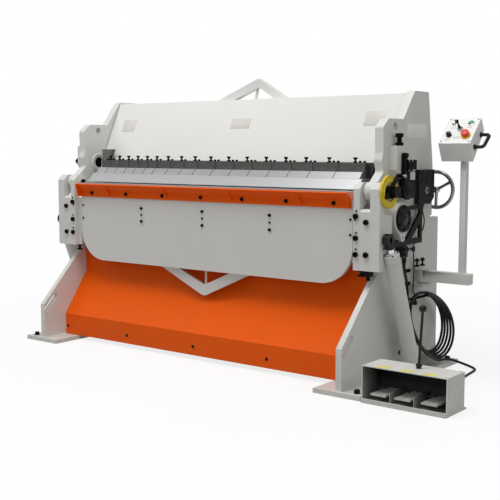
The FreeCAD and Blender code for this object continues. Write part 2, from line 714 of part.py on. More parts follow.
def panel_cone(place, low, high, r0, r1):
    """A cone standing on the panel between two heights."""
    base = V(*panel_point(*place, low))
    tip = V(*panel_point(*place, high))
    return Part.makeCone(r0, r1, high - low, base, tip - base)


def make_controls():
    """Emergency stop, push button, joystick, selector and knob on the panel."""
    stem = rod(11, panel_point(*E_STOP, -7), panel_point(*E_STOP, 12))
    save("e_stop", stem.fuse(panel_cone(E_STOP, 12, 26, 20, 17)))
    save("start_button", rod(11, panel_point(*START, -8), panel_point(*START, 9)))
    ball = Part.makeSphere(9, V(*panel_point(*STICK, 52)))
    pivot = V(*panel_point(*STICK, 4))
    pin = rod_x(3.5, pivot.x - 6, pivot.x + 6, pivot.y, pivot.z)
    save("joystick", fuse([rod(4, panel_point(*STICK, 4), panel_point(*STICK, 50)), pin, ball]))
    body = rod(11, panel_point(*SELECTOR, 0.3), panel_point(*SELECTOR, 10))
    grip = rod(11, panel_point(*SELECTOR, 10), panel_point(*SELECTOR, 20))
    p = V(*panel_point(*SELECTOR, 15))
    slab = Part.makeBox(7, 60, 60, V(p.x - 3.5, p.y - 30, p.z - 30))
    save("selector_switch", fuse([body, grip.common(slab)]))
    skirt = rod(14, panel_point(*KNOB, 0.3), panel_point(*KNOB, 4))
    save("speed_knob", skirt.fuse(panel_cone(KNOB, 4, 18, 13, 11.5)))


# Foot switch

def make_foot_switch():
    """The open box on the floor, its three pedals and its carrying pole."""
    x0, x1 = BOX_X
    y0, y1 = BOX_Y
    floor = box(x0, x1, y0 - 8, y1 + 22, FLOOR + 0.2, FLOOR + 8)
    walls = [
        box(x0, x1, y0, y1, BOX_TOP - WALL, BOX_TOP),
        box(x0, x1, y1 - WALL, y1, FLOOR + 8, BOX_TOP - WALL),
        box(x0, x0 + WALL, y0, y1 - WALL, FLOOR + 8, BOX_TOP - WALL),
        box(x1 - WALL, x1, y0, y1 - WALL, FLOOR + 8, BOX_TOP - WALL),
        box(x0, x1, y0 - 8, y0, FLOOR + 8, FLOOR + 20),
    ]
    for x in PARTITION_X:
        walls.append(box(x - WALL / 2, x + WALL / 2, y0 + 12, y1 - WALL, FLOOR + 8, PARTITION_TOP))
    hinge = rod_x(5, x0 + WALL, x1 - WALL, -160, -880)
    save("foot_box", fuse([floor] + walls + [hinge]))
    plate = [(-298, -881), (-298, -873), (-185, -873), (-185, -881)]
    neck = [(-190, -881), (-190, -873), (-160, -871), (-160, -889), (-172, -886)]
    for name, x in zip(("left", "middle", "right"), PEDAL_X):
        shapes = [prism_x(plate, x - 38, x + 38), prism_x(neck, x - 24, x + 24)]
        shapes.append(rod_x(10, x - 24, x + 24, -160, -880))
        save("pedal_" + name, fuse(shapes).cut(rod_x(5 + RUN_FIT, x - 30, x + 30, -160, -880)))
    pole = fuse([
        rod_z(11, 1388, -201, BOX_TOP, BOX_TOP + 10),
        rod(6, (1388, -201, BOX_TOP), (1401, -197, -488)),
        Part.makeSphere(17, V(1401, -197, -488)),
    ])
    save("carry_pole", pole.cut(box(1300, 1500, -300, -100, BOX_TOP - 20, BOX_TOP)))


def make_power_unit():
    """Oil tank, motor, pump and valves behind the orange cover."""
    tank = box(-300, 300, 180, 520, -810, -560)
    motor = rod_x(85, -230, 90, 350, -465)
    foot = box(-180, 40, 290, 410, -560, -530)
    pump = rod_x(45, 90, 190, 350, -465)
    valves = box(190, 290, 300, 400, -560, -430)
    cap = rod_z(30, -260, 230, -560, -520)
    save("power_unit", fuse([tank, motor, foot, pump, valves, cap]))


# Cables

def cable_path(points, diameter):
    """Straight runs joined by the largest tangent arcs, with the smallest radius."""
    corners = [V(*p) for p in points]
    edges = []
    radii = []
    last = corners[0]
    for i in range(1, len(corners) - 1):
        p = corners[i]
        back = (corners[i - 1] - p)
        ahead = (corners[i + 1] - p)
        reach = 0.45 * min(back.Length, ahead.Length)
        back.normalize()
        ahead.normalize()
        half_turn = (math.pi - back.getAngle(ahead)) / 2
        radius = reach / math.tan(half_turn)
        start = p + back * reach
        end = p + ahead * reach
        middle = (back + ahead).normalize()
        depth = radius / math.cos(half_turn) - radius
        edges.append(Part.LineSegment(last, start).toShape())
        edges.append(Part.Arc(start, p + middle * depth, end).toShape())
        radii.append(radius)
        last = end
    edges.append(Part.LineSegment(last, corners[-1]).toShape())
    return Part.Wire(edges), radii


def sweep(path, start, heading, diameter, name):
    """A round tube along a path, with its length, volume check and name printed."""
    ring = Part.Wire(Part.makeCircle(diameter / 2, start, heading))
    tube = path.makePipeShell([ring], True, False)
    share = tube.Volume / (math.pi * diameter * diameter / 4 * path.Length)
    print("%s: length %.0f mm, volume %.4f of section x length" % (name, path.Length, share))
    return tube


def make_cable(name, points, diameter):
    """A free cable along hand-chosen points."""
    path, radii = cable_path(points, diameter)
    tube = sweep(path, V(*points[0]), V(*points[1]) - V(*points[0]), diameter, name)
    print("  radii %s" % " ".join("%.0f" % r for r in radii))
    save(name, tube)


# The hank is a spiral of ovals: inner turn first, each turn further from the plate.
# Each row holds a constant, then the cosine and sine of once and of twice the angle.
HANK_TURNS = 5
HANK_START = 225.0
HANK_END = HANK_START + 360 * HANK_TURNS + 45
HANK_X = 1062.0
HANK_PITCH = 14.4
HANK_INNER = ((475.0, 160.0, 73.0, -3.0, 4.0), (-678.0, -120.0, 107.0, 1.0, 5.0))
HANK_OUTER = ((426.0, 239.0, 50.0, 0.0, 6.0), (-682.0, -121.0, 140.0, 4.0, 4.0))


def oval_point(rows, degrees):
    """The y and z of an oval at an angle."""
    angle = math.radians(degrees)
    waves = (1, math.cos(angle), math.sin(angle), math.cos(2 * angle), math.sin(2 * angle))
    return [sum(a * b for a, b in zip(row, waves)) for row in rows]


def hank_point(degrees):
    """A point of the hank's centre line."""
    share = (degrees - HANK_START) / (HANK_END - HANK_START)
    share = share * share * (3 - 2 * share)
    inner = oval_point(HANK_INNER, degrees)
    outer = oval_point(HANK_OUTER, degrees)
    y, z = [a + (b - a) * share for a, b in zip(inner, outer)]
    return V(HANK_X + HANK_PITCH * (degrees - HANK_START) / 360, y, z)


def hank_heading(degrees):
    """The direction of the hank's centre line."""
    return (hank_point(degrees + 0.5) - hank_point(degrees - 0.5)).normalize()


def biarc(p0, t0, p1, t1):
    """Two tangent arcs between two points with given headings."""
    v = p1 - p0
    t = t0 + t1
    a = 2 * (1 - t0.dot(t1))
    b = v.dot(t)
    reach = (-b + math.sqrt(b * b + a * v.dot(v))) / a
    joint = (p0 + p1 + (t0 - t1) * reach) * 0.5
    edges = []
    for start, corner, end in ((p0, p0 + t0 * reach, joint), (joint, p1 - t1 * reach, p1)):
        half = (math.pi - (start - corner).getAngle(end - corner)) / 2
        radius = reach / math.tan(half)
        inward = ((start + end) * 0.5 - corner).normalize()
        mid = corner + inward * (radius / math.cos(half) - radius)
        edges.append(Part.Arc(start, mid, end).toShape())
    return edges


def hank_ends():
    """The two end faces of the hank, each a diameter beyond its turns."""
    first = hank_point(HANK_START) - hank_heading(HANK_START) * CABLE_D
    last = hank_point(HANK_END) + hank_heading(HANK_END) * CABLE_D
    return first, last


def make_hank():
    """Five turns of the foot cable hung on the peg."""
    step = 45.0
    first, last = hank_ends()
    edges = [Part.LineSegment(first, hank_point(HANK_START)).toShape()]
    angle = HANK_START
    while angle < HANK_END - 1e-6:
        after = angle + step
        edges += biarc(hank_point(angle), hank_heading(angle), hank_point(after), hank_heading(after))
        angle = after
    edges.append(Part.LineSegment(hank_point(HANK_END), last).toShape())
    path = Part.Wire(edges)
    save("cable_hank", sweep(path, first, hank_heading(HANK_START), CABLE_D, "cable_hank"))
    samples = [hank_point(HANK_START + i * 2.5) for i in range(int((HANK_END - HANK_START) / 2.5) + 1)]
    least = 1e9
    for i, p in enumerate(samples):
        for q in samples[i + 40:]:
            least = min(least, (p - q).Length)
    print("  least gap of the hank to itself %.2f mm" % (least - CABLE_D))


def make_cables():
    """Glands, peg, hank and the free stretches of cable."""
    first, last = hank_ends()
    drop = [
        (1066, 236, -345), (1066, 236, -380), (1065, 264, -436), (1063, 284, -512),
        tuple(first - hank_heading(HANK_START) * 56), tuple(first),
    ]
    make_cable("control_cable", drop, CABLE_D)
    floor_z = FLOOR + CABLE_D / 2 + 0.3
    tail = [
        tuple(last), tuple(last + hank_heading(HANK_END) * 40), (1136, 462, -866), (1136, 506, -874),
        (1142, 550, -877), (1166, 594, -886), (1209, 617, -903), (1261, 611, floor_z),
        (1300, 571, floor_z), (1308, 522, floor_z), (1314, 462, floor_z), (1322, 402, floor_z),
        (1332, 342, floor_z), (1345, 280, floor_z), (1362, 216, floor_z), (1384, 152, floor_z),
        (1401, 86, floor_z), (1405, 16, floor_z + 5), (1400, -50, floor_z + 19),
        (1400, -106, floor_z + 19),
    ]
    make_cable("foot_cable", tail, CABLE_D)
    thin = [
        (1066, 414, -88), (1066, 414, -116), (1066, 436, -147), (1063, 439, -190), (1057, 422, -222),
        (1056, 386, -240), (1056, 348, -262), (1056, 348, -334), (1066, 338, -382), (1067, 335, -430),
        (1065, 333, -478), (1055, 350, -506), (1047, 379, -518), (1046, 395, -538), (1046, 395, -566),
    ]
    make_cable("switch_cable", thin, THIN_D)
    shapes = [
        box(LEG_OUT, 1080, 195, 249, -325, -272), rod_z(12, 1066, 236, -345, -325),
        rod(7, (LEG_OUT, 350, -552), (1146, 350, -517.3)),
        rod(12, (1140.5, 350, -519), (1146.5, 350, -517.1)),
        rod_z(7, 1066, 414, -88, -74), box(LEG_OUT, 1053, 385, 405, -584, -566),
        rod_z(8, 1056, 348, -309, -285).fuse(rod_x(5, LEG_OUT, 1056, 348, -297)),
    ]
    shapes[6] = shapes[6].cut(rod_z(3.4, 1056, 348, -310, -284))
    shapes[2] = shapes[2].cut(box(LEG_OUT - 10, LEG_OUT, 330, 370, -570, -530))
    end = V(*tail[-1])
    shapes.append(rod_y(11, end.x, BOX_Y[1], end.y, end.z))
    save("cable_fittings", group([fuse(shapes[:2]), fuse(shapes[2:4])] + shapes[4:]))


def main():
    """Build every file."""
    os.makedirs("parts", exist_ok=True)
    make_frames()
    make_front_cover()
    make_hinge_pins()
    make_guides()
    make_beam()
    make_fingers()
    make_clamp_rams()
    make_apron()
    make_apron_bolts()
    make_dial()
    make_rams()
    make_drive()
    make_handwheel()
    make_pendant()
    make_controls()
    make_foot_switch()
    make_power_unit()
    make_hank()
    make_cables()


main()
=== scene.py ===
"""Looks of a hydraulic sheet metal brake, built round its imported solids.

Places are written as in the part's source: millimetres from the bending axis, x to the right, y to
the rear, z up. placed() turns them into metres in the frame.
"""

import json
import logging
import math
from dataclasses import dataclass
from enum import Enum
from typing import Any, Sequence

import bmesh
import bpy
import numpy as np
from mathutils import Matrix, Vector

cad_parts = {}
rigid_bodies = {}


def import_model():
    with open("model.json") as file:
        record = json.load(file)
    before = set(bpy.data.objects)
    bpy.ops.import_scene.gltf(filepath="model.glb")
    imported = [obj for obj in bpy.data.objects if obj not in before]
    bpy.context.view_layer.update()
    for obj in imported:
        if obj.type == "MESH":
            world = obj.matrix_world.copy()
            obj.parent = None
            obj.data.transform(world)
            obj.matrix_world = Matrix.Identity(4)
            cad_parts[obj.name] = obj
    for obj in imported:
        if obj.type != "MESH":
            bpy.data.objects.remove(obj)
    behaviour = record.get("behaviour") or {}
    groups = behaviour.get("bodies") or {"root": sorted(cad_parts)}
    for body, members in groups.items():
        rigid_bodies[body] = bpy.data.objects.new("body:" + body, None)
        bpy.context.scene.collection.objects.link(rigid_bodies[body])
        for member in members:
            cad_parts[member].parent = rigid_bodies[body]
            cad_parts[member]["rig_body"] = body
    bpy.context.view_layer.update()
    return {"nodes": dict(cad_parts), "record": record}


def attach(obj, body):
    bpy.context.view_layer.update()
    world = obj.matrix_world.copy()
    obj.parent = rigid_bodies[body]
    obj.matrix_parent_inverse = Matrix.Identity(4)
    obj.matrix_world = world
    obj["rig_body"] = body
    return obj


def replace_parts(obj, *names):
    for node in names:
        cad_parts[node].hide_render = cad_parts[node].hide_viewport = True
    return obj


LOG = logging.getLogger("brake")
MM = 0.001
AXIS = np.array([0.0, -0.196, 0.920])
FLOOR = -920.0
SIDES = (-1, 1)
UP, RIGHT, FRONT, REAR = (0, 0, 1), (1, 0, 0), (0, -1, 0), (0, 1, 0)
ORIGIN = (0, 0, 0)
INCH = 25.4
FINGERS = (3,) * 6 + (4,) * 3 + (5,) * 6 + (6,) * 2

Point = Sequence[float]
Points = np.ndarray
Piece = bpy.types.Object
Two = tuple[float, float]
Three = tuple[float, float, float]
Four = tuple[float, float, float, float]


class Body(str, Enum):
    """Bodies of the machine that pieces ride on."""

    FRAME = "frame"
    BEAM = "beam"
    APRON = "apron"
    BARREL_LEFT = "ram_barrel_left"
    BARREL_RIGHT = "ram_barrel_right"
    ROD_LEFT = "ram_rod_left"
    ROD_RIGHT = "ram_rod_right"
    LEVER = "stop_lever"
    WHEEL = "handwheel"
    ARM = "pendant_arm"
    CONSOLE = "console"
    E_STOP = "e_stop"
    START = "start_button"
    STICK = "joystick"
    SELECTOR = "selector_switch"
    KNOB = "speed_knob"
    PEDAL_LEFT = "pedal_left"
    PEDAL_MIDDLE = "pedal_middle"
    PEDAL_RIGHT = "pedal_right"


class Slot(str, Enum):
    """Material slots of the record."""

    CREAM = "cream_paint"
    ORANGE = "orange_paint"
    DARK = "dark_paint"
    BLACK = "black_paint"
    GROUND = "ground_steel"
    OXIDE = "black_steel"
    CHROME = "chrome"
    YELLOW = "yellow_paint"
    RED = "red_plastic"
    GREEN = "green_plastic"
    PLASTIC = "black_plastic"
    RUBBER = "black_rubber"
    GREY = "grey_paint"
    IRON = "grey_iron"


def placed(points: Any) -> Points:
    """Turns millimetres from the bending axis into metres in the frame.

    Args:
        points: one point or an array of points.

    Returns:
        The same points in metres.
    """
    return np.asarray(points, float) * MM + AXIS


def metres(value: float, axis: int) -> float:
    """A place on one axis, in millimetres, as the frame's metres."""
    return float(value * MM + AXIS[axis])


def seen(red: float, green: float, blue: float) -> Four:
    """Turns a colour as it is seen on a screen into the shader's linear values.

    Args:
        red: red, from 0 to 255.
        green: green, from 0 to 255.
        blue: blue, from 0 to 255.

    Returns:
        Linear red, green, blue and an alpha of one.
    """
    share = np.array([red, green, blue]) / 255
    linear = np.where(share <= 0.04045, share / 12.92, ((share + 0.055) / 1.055) ** 2.4)
    return (float(linear[0]), float(linear[1]), float(linear[2]), 1.0)


def toned(colour: Point, factor: float, lift: float = 0.0) -> tuple[float, ...]:
    """A linear colour made darker or paler by a factor and a lift, at most white."""
    return tuple(min(1.0, c * factor + lift) for c in colour[:3]) + (1.0,)


# Shader graphs


class Num:
    """An output of a shader graph with arithmetic: each operator adds one Math node."""

    def __init__(self, graph: "Graph", socket: bpy.types.NodeSocket) -> None:
        """Keeps the graph and its socket."""
        self.graph = graph
        self.socket = socket

    def __add__(self, other: Any) -> "Num":
        """Sum."""
        return self.graph.maths("ADD", self, other)

    def __sub__(self, other: Any) -> "Num":
        """Difference."""
        return self.graph.maths("SUBTRACT", self, other)

    def __rsub__(self, other: Any) -> "Num":
        """Difference from a number."""
        return self.graph.maths("SUBTRACT", other, self)

    def __mul__(self, other: Any) -> "Num":
        """Product."""
        return self.graph.maths("MULTIPLY", self, other)

    def __truediv__(self, other: Any) -> "Num":
        """Quotient."""
        return self.graph.maths("DIVIDE", self, other)

    def __pow__(self, other: Any) -> "Num":
        """Power."""
        return self.graph.maths("POWER", self, other)

    def __lt__(self, other: Any) -> "Num":
        """One where this is less."""
        return self.graph.maths("LESS_THAN", self, other)

    def __gt__(self, other: Any) -> "Num":
        """One where this is greater."""
        return self.graph.maths("GREATER_THAN", self, other)

    __radd__ = __add__
    __rmul__ = __mul__


class Graph:
    """Node tree of one material, with a Principled shader at its end."""

    def __init__(self, name: str) -> None:
        """Starts an empty material with its shader and output.

        Args:
            name: the material's name.
        """
        self.material = bpy.data.materials.new(name)
        self.material.use_nodes = True
        self.tree = self.material.node_tree
        self.tree.nodes.clear()
        self.shader = self.tree.nodes.new("ShaderNodeBsdfPrincipled")
        output = self.tree.nodes.new("ShaderNodeOutputMaterial")
        self.tree.links.new(self.shader.outputs[0], output.inputs[0])
        self.place = self.node("ShaderNodeTexCoord", output="Object")

    def node(
        self, kind: str, settings: dict | None = None, sockets: dict | None = None, output: Any = 0
    ) -> Num:
        """Adds a node.

        Args:
            kind: the node's type.
            settings: its own settings, set first.
            sockets: values or links of its inputs, by name or number.
            output: name or number of the output that is handed back.

        Returns:
            That output.
        """
        made = self.tree.nodes.new(kind)
        for key, value in (settings or {}).items():
            setattr(made, key, value)
        for key, value in (sockets or {}).items():
            if isinstance(value, Num):
                self.tree.links.new(value.socket, made.inputs[key])
            else:
                made.inputs[key].default_value = value
        return Num(self, made.outputs[output])

    def maths(self, operation: str, first: Any, second: Any = 0.0) -> Num:
        """Adds a Math node on two values."""
        return self.node("ShaderNodeMath", {"operation": operation}, {0: first, 1: second})

    def clamp(self, value: Num) -> Num:
        """Keeps a value between zero and one."""
        return self.node("ShaderNodeClamp", None, {0: value})

    def mix(self, share: Any, first: Any, second: Any) -> Num:
        """Mixes two colours."""
        sockets = {0: share, 6: first, 7: second}
        return self.node("ShaderNodeMix", {"data_type": "RGBA"}, sockets, 2)

    def noise(self, scale: float, detail: float = 2.0, stretch: Point = (1, 1, 1)) -> Num:
        """Noise on the object's own coordinates.

        Args:
            scale: cycles per metre.
            detail: octaves.
            stretch: factors on the three axes, small along the streaks of brushed metal.

        Returns:
            A value from zero to one.
        """
        where = self.node("ShaderNodeMapping", None, {0: self.place, "Scale": tuple(stretch)})
        sockets = {"Vector": where, "Scale": scale, "Detail": detail}
        return self.node("ShaderNodeTexNoise", None, sockets, 0)

    def axes(self) -> tuple[Num, Num, Num]:
        """The three object coordinates as numbers.

        Returns:
            The values x, y and z.
        """
        x = self.node("ShaderNodeSeparateXYZ", None, {0: self.place})
        _, y, z = x.socket.node.outputs
        return x, Num(self, y), Num(self, z)

    def bump(self, height: Num, depth: float, strength: float = 1.0) -> None:
        """Feeds a height in units of depth metres to the shader's normal."""
        sockets = {"Height": height, "Distance": depth, "Strength": strength}
        self.set("Normal", self.node("ShaderNodeBump", None, sockets))

    def set(self, name: str, value: Any) -> None:
        """Sets or links an input of the shader.

        Args:
            name: the input.
            value: a plain value or a graph's output.
        """
        if isinstance(value, Num):
            self.tree.links.new(value.socket, self.shader.inputs[name])
        else:
            self.shader.inputs[name].default_value = value


@dataclass(frozen=True)
class Finish:
    """What one surface is made of and the slot it goes with; each kind draws its own nodes."""

    name: str
    colour: Three
    roughness: float = 0.4
    slot: Slot = Slot.CREAM

    def draw(self, graph: Graph) -> None:
        """Sets the shader's values and links."""
        raise NotImplementedError

    def material(self) -> bpy.types.Material:
        """The material, made once.

        Returns:
            The material that carries this finish.
        """
        known = bpy.data.materials.get(self.name)
        if known is not None:
            return known
        graph = Graph(self.name)
        self.draw(graph)
        return graph.material


@dataclass(frozen=True)
class Paint(Finish):
    """Sprayed paint: faint orange peel, slight change of tone, dust low down, dull patches."""

    peel: float = 0.00012
    dust: float = 0.12
    coat: float = 0.1
    shine: float = 0.4

    def draw(self, graph: Graph) -> None:
        """Mixes tone, dust and smudges.

        Args:
            graph: the material's nodes.
        """
        tone = graph.noise(2.3, 3.0)
        fine = graph.noise(38.0, 4.0)
        height = graph.axes()[2]
        base = seen(*self.colour)
        colour = graph.mix(graph.clamp(tone * 1.6 - 0.3), toned(base, 0.93), base)
        low = graph.clamp(1.0 - height / 0.35)
        dirt = low * graph.clamp(fine * 2.2 - 0.7) * self.dust
        colour = graph.mix(dirt, colour, seen(120, 112, 100))
        graph.set("Base Color", colour)
        graph.set("Roughness", graph.clamp(tone * 0.12 + fine * 0.10 + (self.roughness - 0.11)))
        graph.set("Coat Weight", self.coat)
        graph.set("Coat Roughness", 0.18)
        graph.set("Specular IOR Level", self.shine)
        graph.bump(graph.noise(650.0, 1.0), self.peel, 0.5)


@dataclass(frozen=True)
class GroundSteel(Finish):
    """Surface-ground steel with streaks along x, or all round where they are even."""

    stretch: Three = (0.02, 1.0, 1.0)
    scale: float = 900.0

    def draw(self, graph: Graph) -> None:
        """Streaks in roughness and relief, faint stains in colour.

        Args:
            graph: the material's nodes.
        """
        streak = graph.noise(self.scale, 3.0, self.stretch)
        stain = graph.noise(7.0, 4.0)
        base = seen(*self.colour)
        graph.set("Base Color", graph.mix(graph.clamp(stain * 1.8 - 0.5), toned(base, 0.84), base))
        graph.set("Metallic", 1.0)
        graph.set("Roughness", graph.clamp(streak * 0.22 + stain * 0.08 + (self.roughness - 0.15)))
        graph.bump(streak, 0.00004, 0.6)


@dataclass(frozen=True)
class Chrome(Finish):
    """Hard chrome with the faintest wipe marks."""

    def draw(self, graph: Graph) -> None:
        """Nearly even mirror.

        Args:
            graph: the material's nodes.
        """
        wipe = graph.noise(14.0, 3.0)
        graph.set("Base Color", seen(*self.colour))
        graph.set("Metallic", 1.0)
        graph.set("Roughness", graph.clamp(wipe * 0.1 + self.roughness))


@dataclass(frozen=True)
class RodChrome(Finish):
    """A ram's rod: chrome, with a blackened eye at its end."""

    eye: Two = (-23.0, -221.0)
    reach: float = 47.0

    def draw(self, graph: Graph) -> None:
        """A mask on the distance from the eye parts black from chrome.

        Args:
            graph: the material's nodes.
        """
        _, y, z = graph.axes()
        y = y - metres(self.eye[0], 1)
        z = z - metres(self.eye[1], 2)
        near = ((y * y + z * z) ** 0.5) < float(self.reach * MM)
        wipe = graph.noise(14.0, 3.0)
        graph.set("Base Color", graph.mix(near, seen(*self.colour), seen(26, 25, 25)))
        graph.set("Metallic", 1.0 - near * 0.6)
        graph.set("Roughness", graph.clamp(wipe * 0.1 + near * 0.35 + self.roughness))


@dataclass(frozen=True)
class Oxide(Finish):
    """Blackened steel: dark, a little shiny, paler where it is worn."""

    metal: float = 0.75

    def draw(self, graph: Graph) -> None:
        """Mottled black with small paler rubs.

        Args:
            graph: the material's nodes.
        """
        mottle = graph.noise(60.0, 4.0)
        rub = graph.clamp(graph.noise(260.0, 3.0) * 4.0 - 2.6)
        base = seen(*self.colour)
        graph.set("Base Color", graph.mix(rub * 0.5, base, toned(base, 2.4, 0.01)))
        graph.set("Metallic", self.metal)
        graph.set("Specular IOR Level", 0.3)
        graph.set("Roughness", graph.clamp(mottle * 0.2 + (self.roughness - 0.1)))
        graph.bump(mottle, 0.00006, 0.5)


@dataclass(frozen=True)
class Moulded(Finish):
    """Moulded plastic or rubber with a fine grain."""

    grain: float = 1500.0
    relief: float = 0.00005
    shine: float = 0.35

    def draw(self, graph: Graph) -> None:
        """Fine even grain and light handling marks.

        Args:
            graph: the material's nodes.
        """
        grain = graph.noise(self.grain, 2.0)
        marks = graph.noise(45.0, 3.0)
        base = seen(*self.colour)
        pale = toned(base, 1.25, 0.004)
        graph.set("Base Color", graph.mix(graph.clamp(marks * 1.4 - 0.3), base, pale))
        graph.set("Roughness", graph.clamp(marks * 0.14 + (self.roughness - 0.07)))
        graph.set("Specular IOR Level", self.shine)
        graph.bump(grain, self.relief, 0.6)


@dataclass(frozen=True)
class Sheath(Finish):
    """Cable sheath: drawn rubber with scuffs."""

    def draw(self, graph: Graph) -> None:
        """Dull black with dusty scuffs.

        Args:
            graph: the material's nodes.
        """
        scuff = graph.clamp(graph.noise(70.0, 5.0) * 3.0 - 1.5)
        base = seen(*self.colour)
        graph.set("Base Color", graph.mix(scuff * 0.25, base, seen(92, 90, 88)))
        graph.set("Roughness", graph.clamp(scuff * 0.2 + self.roughness))
        graph.set("Specular IOR Level", 0.3)
        graph.bump(graph.noise(900.0, 2.0), 0.00008, 0.5)


@dataclass(frozen=True)
class FingerSteel(Finish):
    """Finger steel: ground on the toe, black scale behind the line where the body starts."""

    body_y: float = 107.0
    start: float = -914.4

    def seams(self, graph: Graph) -> Any:
        """One where x is near the end of a finger, from the running sum of the widths.

        Args:
            graph: the material's nodes.

        Returns:
            The value of the mask.
        """
        x = graph.axes()[0] / MM
        found: Any = 0.0
        half = 1.9
        for place in self.start + np.cumsum(FINGERS[:-1]) * INCH:
            found = (graph.maths("ABSOLUTE", x - float(place)) < half) + found
        return graph.clamp(found)

    def draw(self, graph: Graph) -> None:
        """A mask on y parts ground toe from scaled body.

        Args:
            graph: the material's nodes.
        """
        behind = graph.axes()[1] > metres(self.body_y, 1)
        streak = graph.noise(900.0, 3.0, (0.02, 1.0, 1.0))
        scale = graph.noise(85.0, 4.0)
        dark = graph.mix(graph.clamp(scale * 1.6 - 0.3), seen(86, 86, 85), seen(112, 112, 110))
        seam = self.seams(graph)
        plain = graph.mix(behind, seen(*self.colour), dark)
        graph.set("Base Color", graph.mix(seam, plain, seen(26, 25, 25)))
        graph.set("Metallic", (1.0 - behind * 0.45) * (1.0 - seam * 0.8))
        graph.set("Roughness", graph.clamp(streak * 0.2 + behind * 0.3 + (self.roughness - 0.1)))
        graph.bump(streak, 0.00004, 0.6)


@dataclass(frozen=True)
class BeamPaintAndShade(Finish):
    """Beam weldment: painted shade on its black base, its dark grey wedge block and its black right end
    under the cover; cream paint elsewhere.
    """

    base_top: float = 54.5
    wedge_x: float = -870.0
    wedge_y: float = 192.0
    wedge_z: float = 126.5
    end_x: float = 914.0
    rear_y: float = 260.0

    def draw(self, graph: Graph) -> None:
        """Masks on the three coordinates part the painted shade from the cream paint.

        Args:
            graph: the material's nodes.
        """
        x, y, z = graph.axes()
        wedge = (x < self.wedge_x * MM) * (y < metres(self.wedge_y, 1))
        wedge = wedge * (z > metres(self.wedge_z, 2))
        above = (z > metres(self.base_top, 2)) * (1.0 - wedge)
        rear = y > metres(self.rear_y, 1)
        tone = graph.noise(5.0, 3.0)
        # Near-black with a random tone: painted shade on the base plate and the right end, where they show
        # through the gaps under the fingers and the cover.
        dark = graph.mix(tone, seen(30, 29, 29), seen(46, 45, 44))
        # The wedge block at the left end under the cover gets a grey that is painted shade.
        dark = graph.mix(wedge, dark, seen(116, 114, 110))
        # Painted shadow of the cover's end on the right end block, below the wedge's height.
        side = (x > self.end_x * MM) * (z < metres(self.wedge_z, 2))
        above = graph.clamp(above * (1.0 - side) + rear)
        graph.set("Base Color", graph.mix(above, dark, seen(*self.colour)))
        graph.set("Roughness", graph.clamp(tone * 0.15 + self.roughness))
        graph.bump(graph.noise(600.0, 2.0), 0.0001, 0.5)


@dataclass(frozen=True)
class BoxPaintAndShade(Finish):
    """Foot switch box: painted outside, with painted shade on the faces within its walls."""

    low: Three = (1163.5, -299.0, -913.0)
    high: Three = (1571.5, -138.0, -755.0)

    def draw(self, graph: Graph) -> None:
        """A mask of six half-spaces finds the inner faces, which get painted shade.

        Args:
            graph: the material's nodes.
        """
        inside: Any = 1.0
        for axis, value in enumerate(graph.axes()):
            within = (value > metres(self.low[axis], axis)) * (value < metres(self.high[axis], axis))
            inside = within * inside
        _, y, z = graph.axes()
        y = (y - float(AXIS[1])) / MM
        z = (z - float(AXIS[2])) / MM
        # Depth grows towards the back and the top of the box, where the painted shade is darkest.
        depth = graph.clamp((y - self.low[1]) / 150.0) * 0.75 + graph.clamp((z + 900.0) / 150.0) * 0.5
        soil = graph.noise(24.0, 4.0)
        tone = graph.mix(graph.clamp(soil * 1.5 - 0.3), seen(*self.colour), seen(206, 205, 199))
        # Painted shade inside the box: from a shaded cream down to near-black at the back.
        shade = graph.mix(graph.clamp(depth), seen(178, 174, 170), seen(28, 26, 26))
        graph.set("Base Color", graph.mix(inside, tone, shade))
        graph.set("Roughness", graph.clamp(soil * 0.15 + inside * 0.2 + self.roughness))
        graph.set("Specular IOR Level", 0.35)
        graph.bump(graph.noise(650.0, 1.0), 0.0001, 0.5)


@dataclass(frozen=True)
class BracketPaint(Finish):
    """Pendant bracket: painted, with black studs and nuts above its plate."""

    top: float = -386.5
    bolt_y: float = 325.0
    plate_x: float = 1048.6

    def draw(self, graph: Graph) -> None:
        """Masks on height and on the strip of bolts in front.

        Args:
            graph: the material's nodes.
        """
        x, y, z = graph.axes()
        studs = z > metres(self.top, 2)
        front = (y < metres(self.bolt_y, 1)) * (x > self.plate_x * MM)
        dark = graph.clamp(studs + front)
        tone = graph.noise(6.0, 3.0)
        pale = graph.mix(tone, seen(*self.colour), seen(206, 206, 200))
        graph.set("Base Color", graph.mix(dark, pale, seen(24, 23, 23)))
        graph.set("Roughness", graph.clamp(tone * 0.1 + self.roughness))
        graph.set("Specular IOR Level", 0.35)
        graph.bump(graph.noise(650.0, 1.0), 0.0001, 0.5)


@dataclass(frozen=True)
class DialFace(Finish):
    """Yellow dial with plain black graduations and no figures."""

    inner: float = 66.0
    step: float = 5.0

    def draw(self, graph: Graph) -> None:
        """Ticks where the angle's rest after each step is small and the radius is near the rim.

        Args:
            graph: the material's nodes.
        """
        _, y, z = graph.axes()
        y = (y - float(AXIS[1])) / MM
        z = (z - float(AXIS[2])) / MM
        radius = (y * y + z * z) ** 0.5
        turn = graph.maths("ARCTAN2", z, y) * (180 / math.pi) + 360.0
        rest = graph.maths("MODULO", turn, self.step)
        fine = (rest < 0.9) * (radius > self.inner)
        coarse = (graph.maths("MODULO", turn, self.step * 6) < 1.1) * (radius > self.inner - 14)
        ticks = graph.clamp(fine + coarse)
        soil = graph.noise(30.0, 4.0)
        base = graph.mix(graph.clamp(soil * 1.6 - 0.4), seen(*self.colour), seen(205, 168, 20))
        graph.set("Base Color", graph.mix(ticks, base, seen(45, 38, 20)))
        graph.set("Roughness", graph.clamp(soil * 0.2 + self.roughness))
        graph.bump(graph.noise(500.0, 2.0), 0.00008, 0.5)


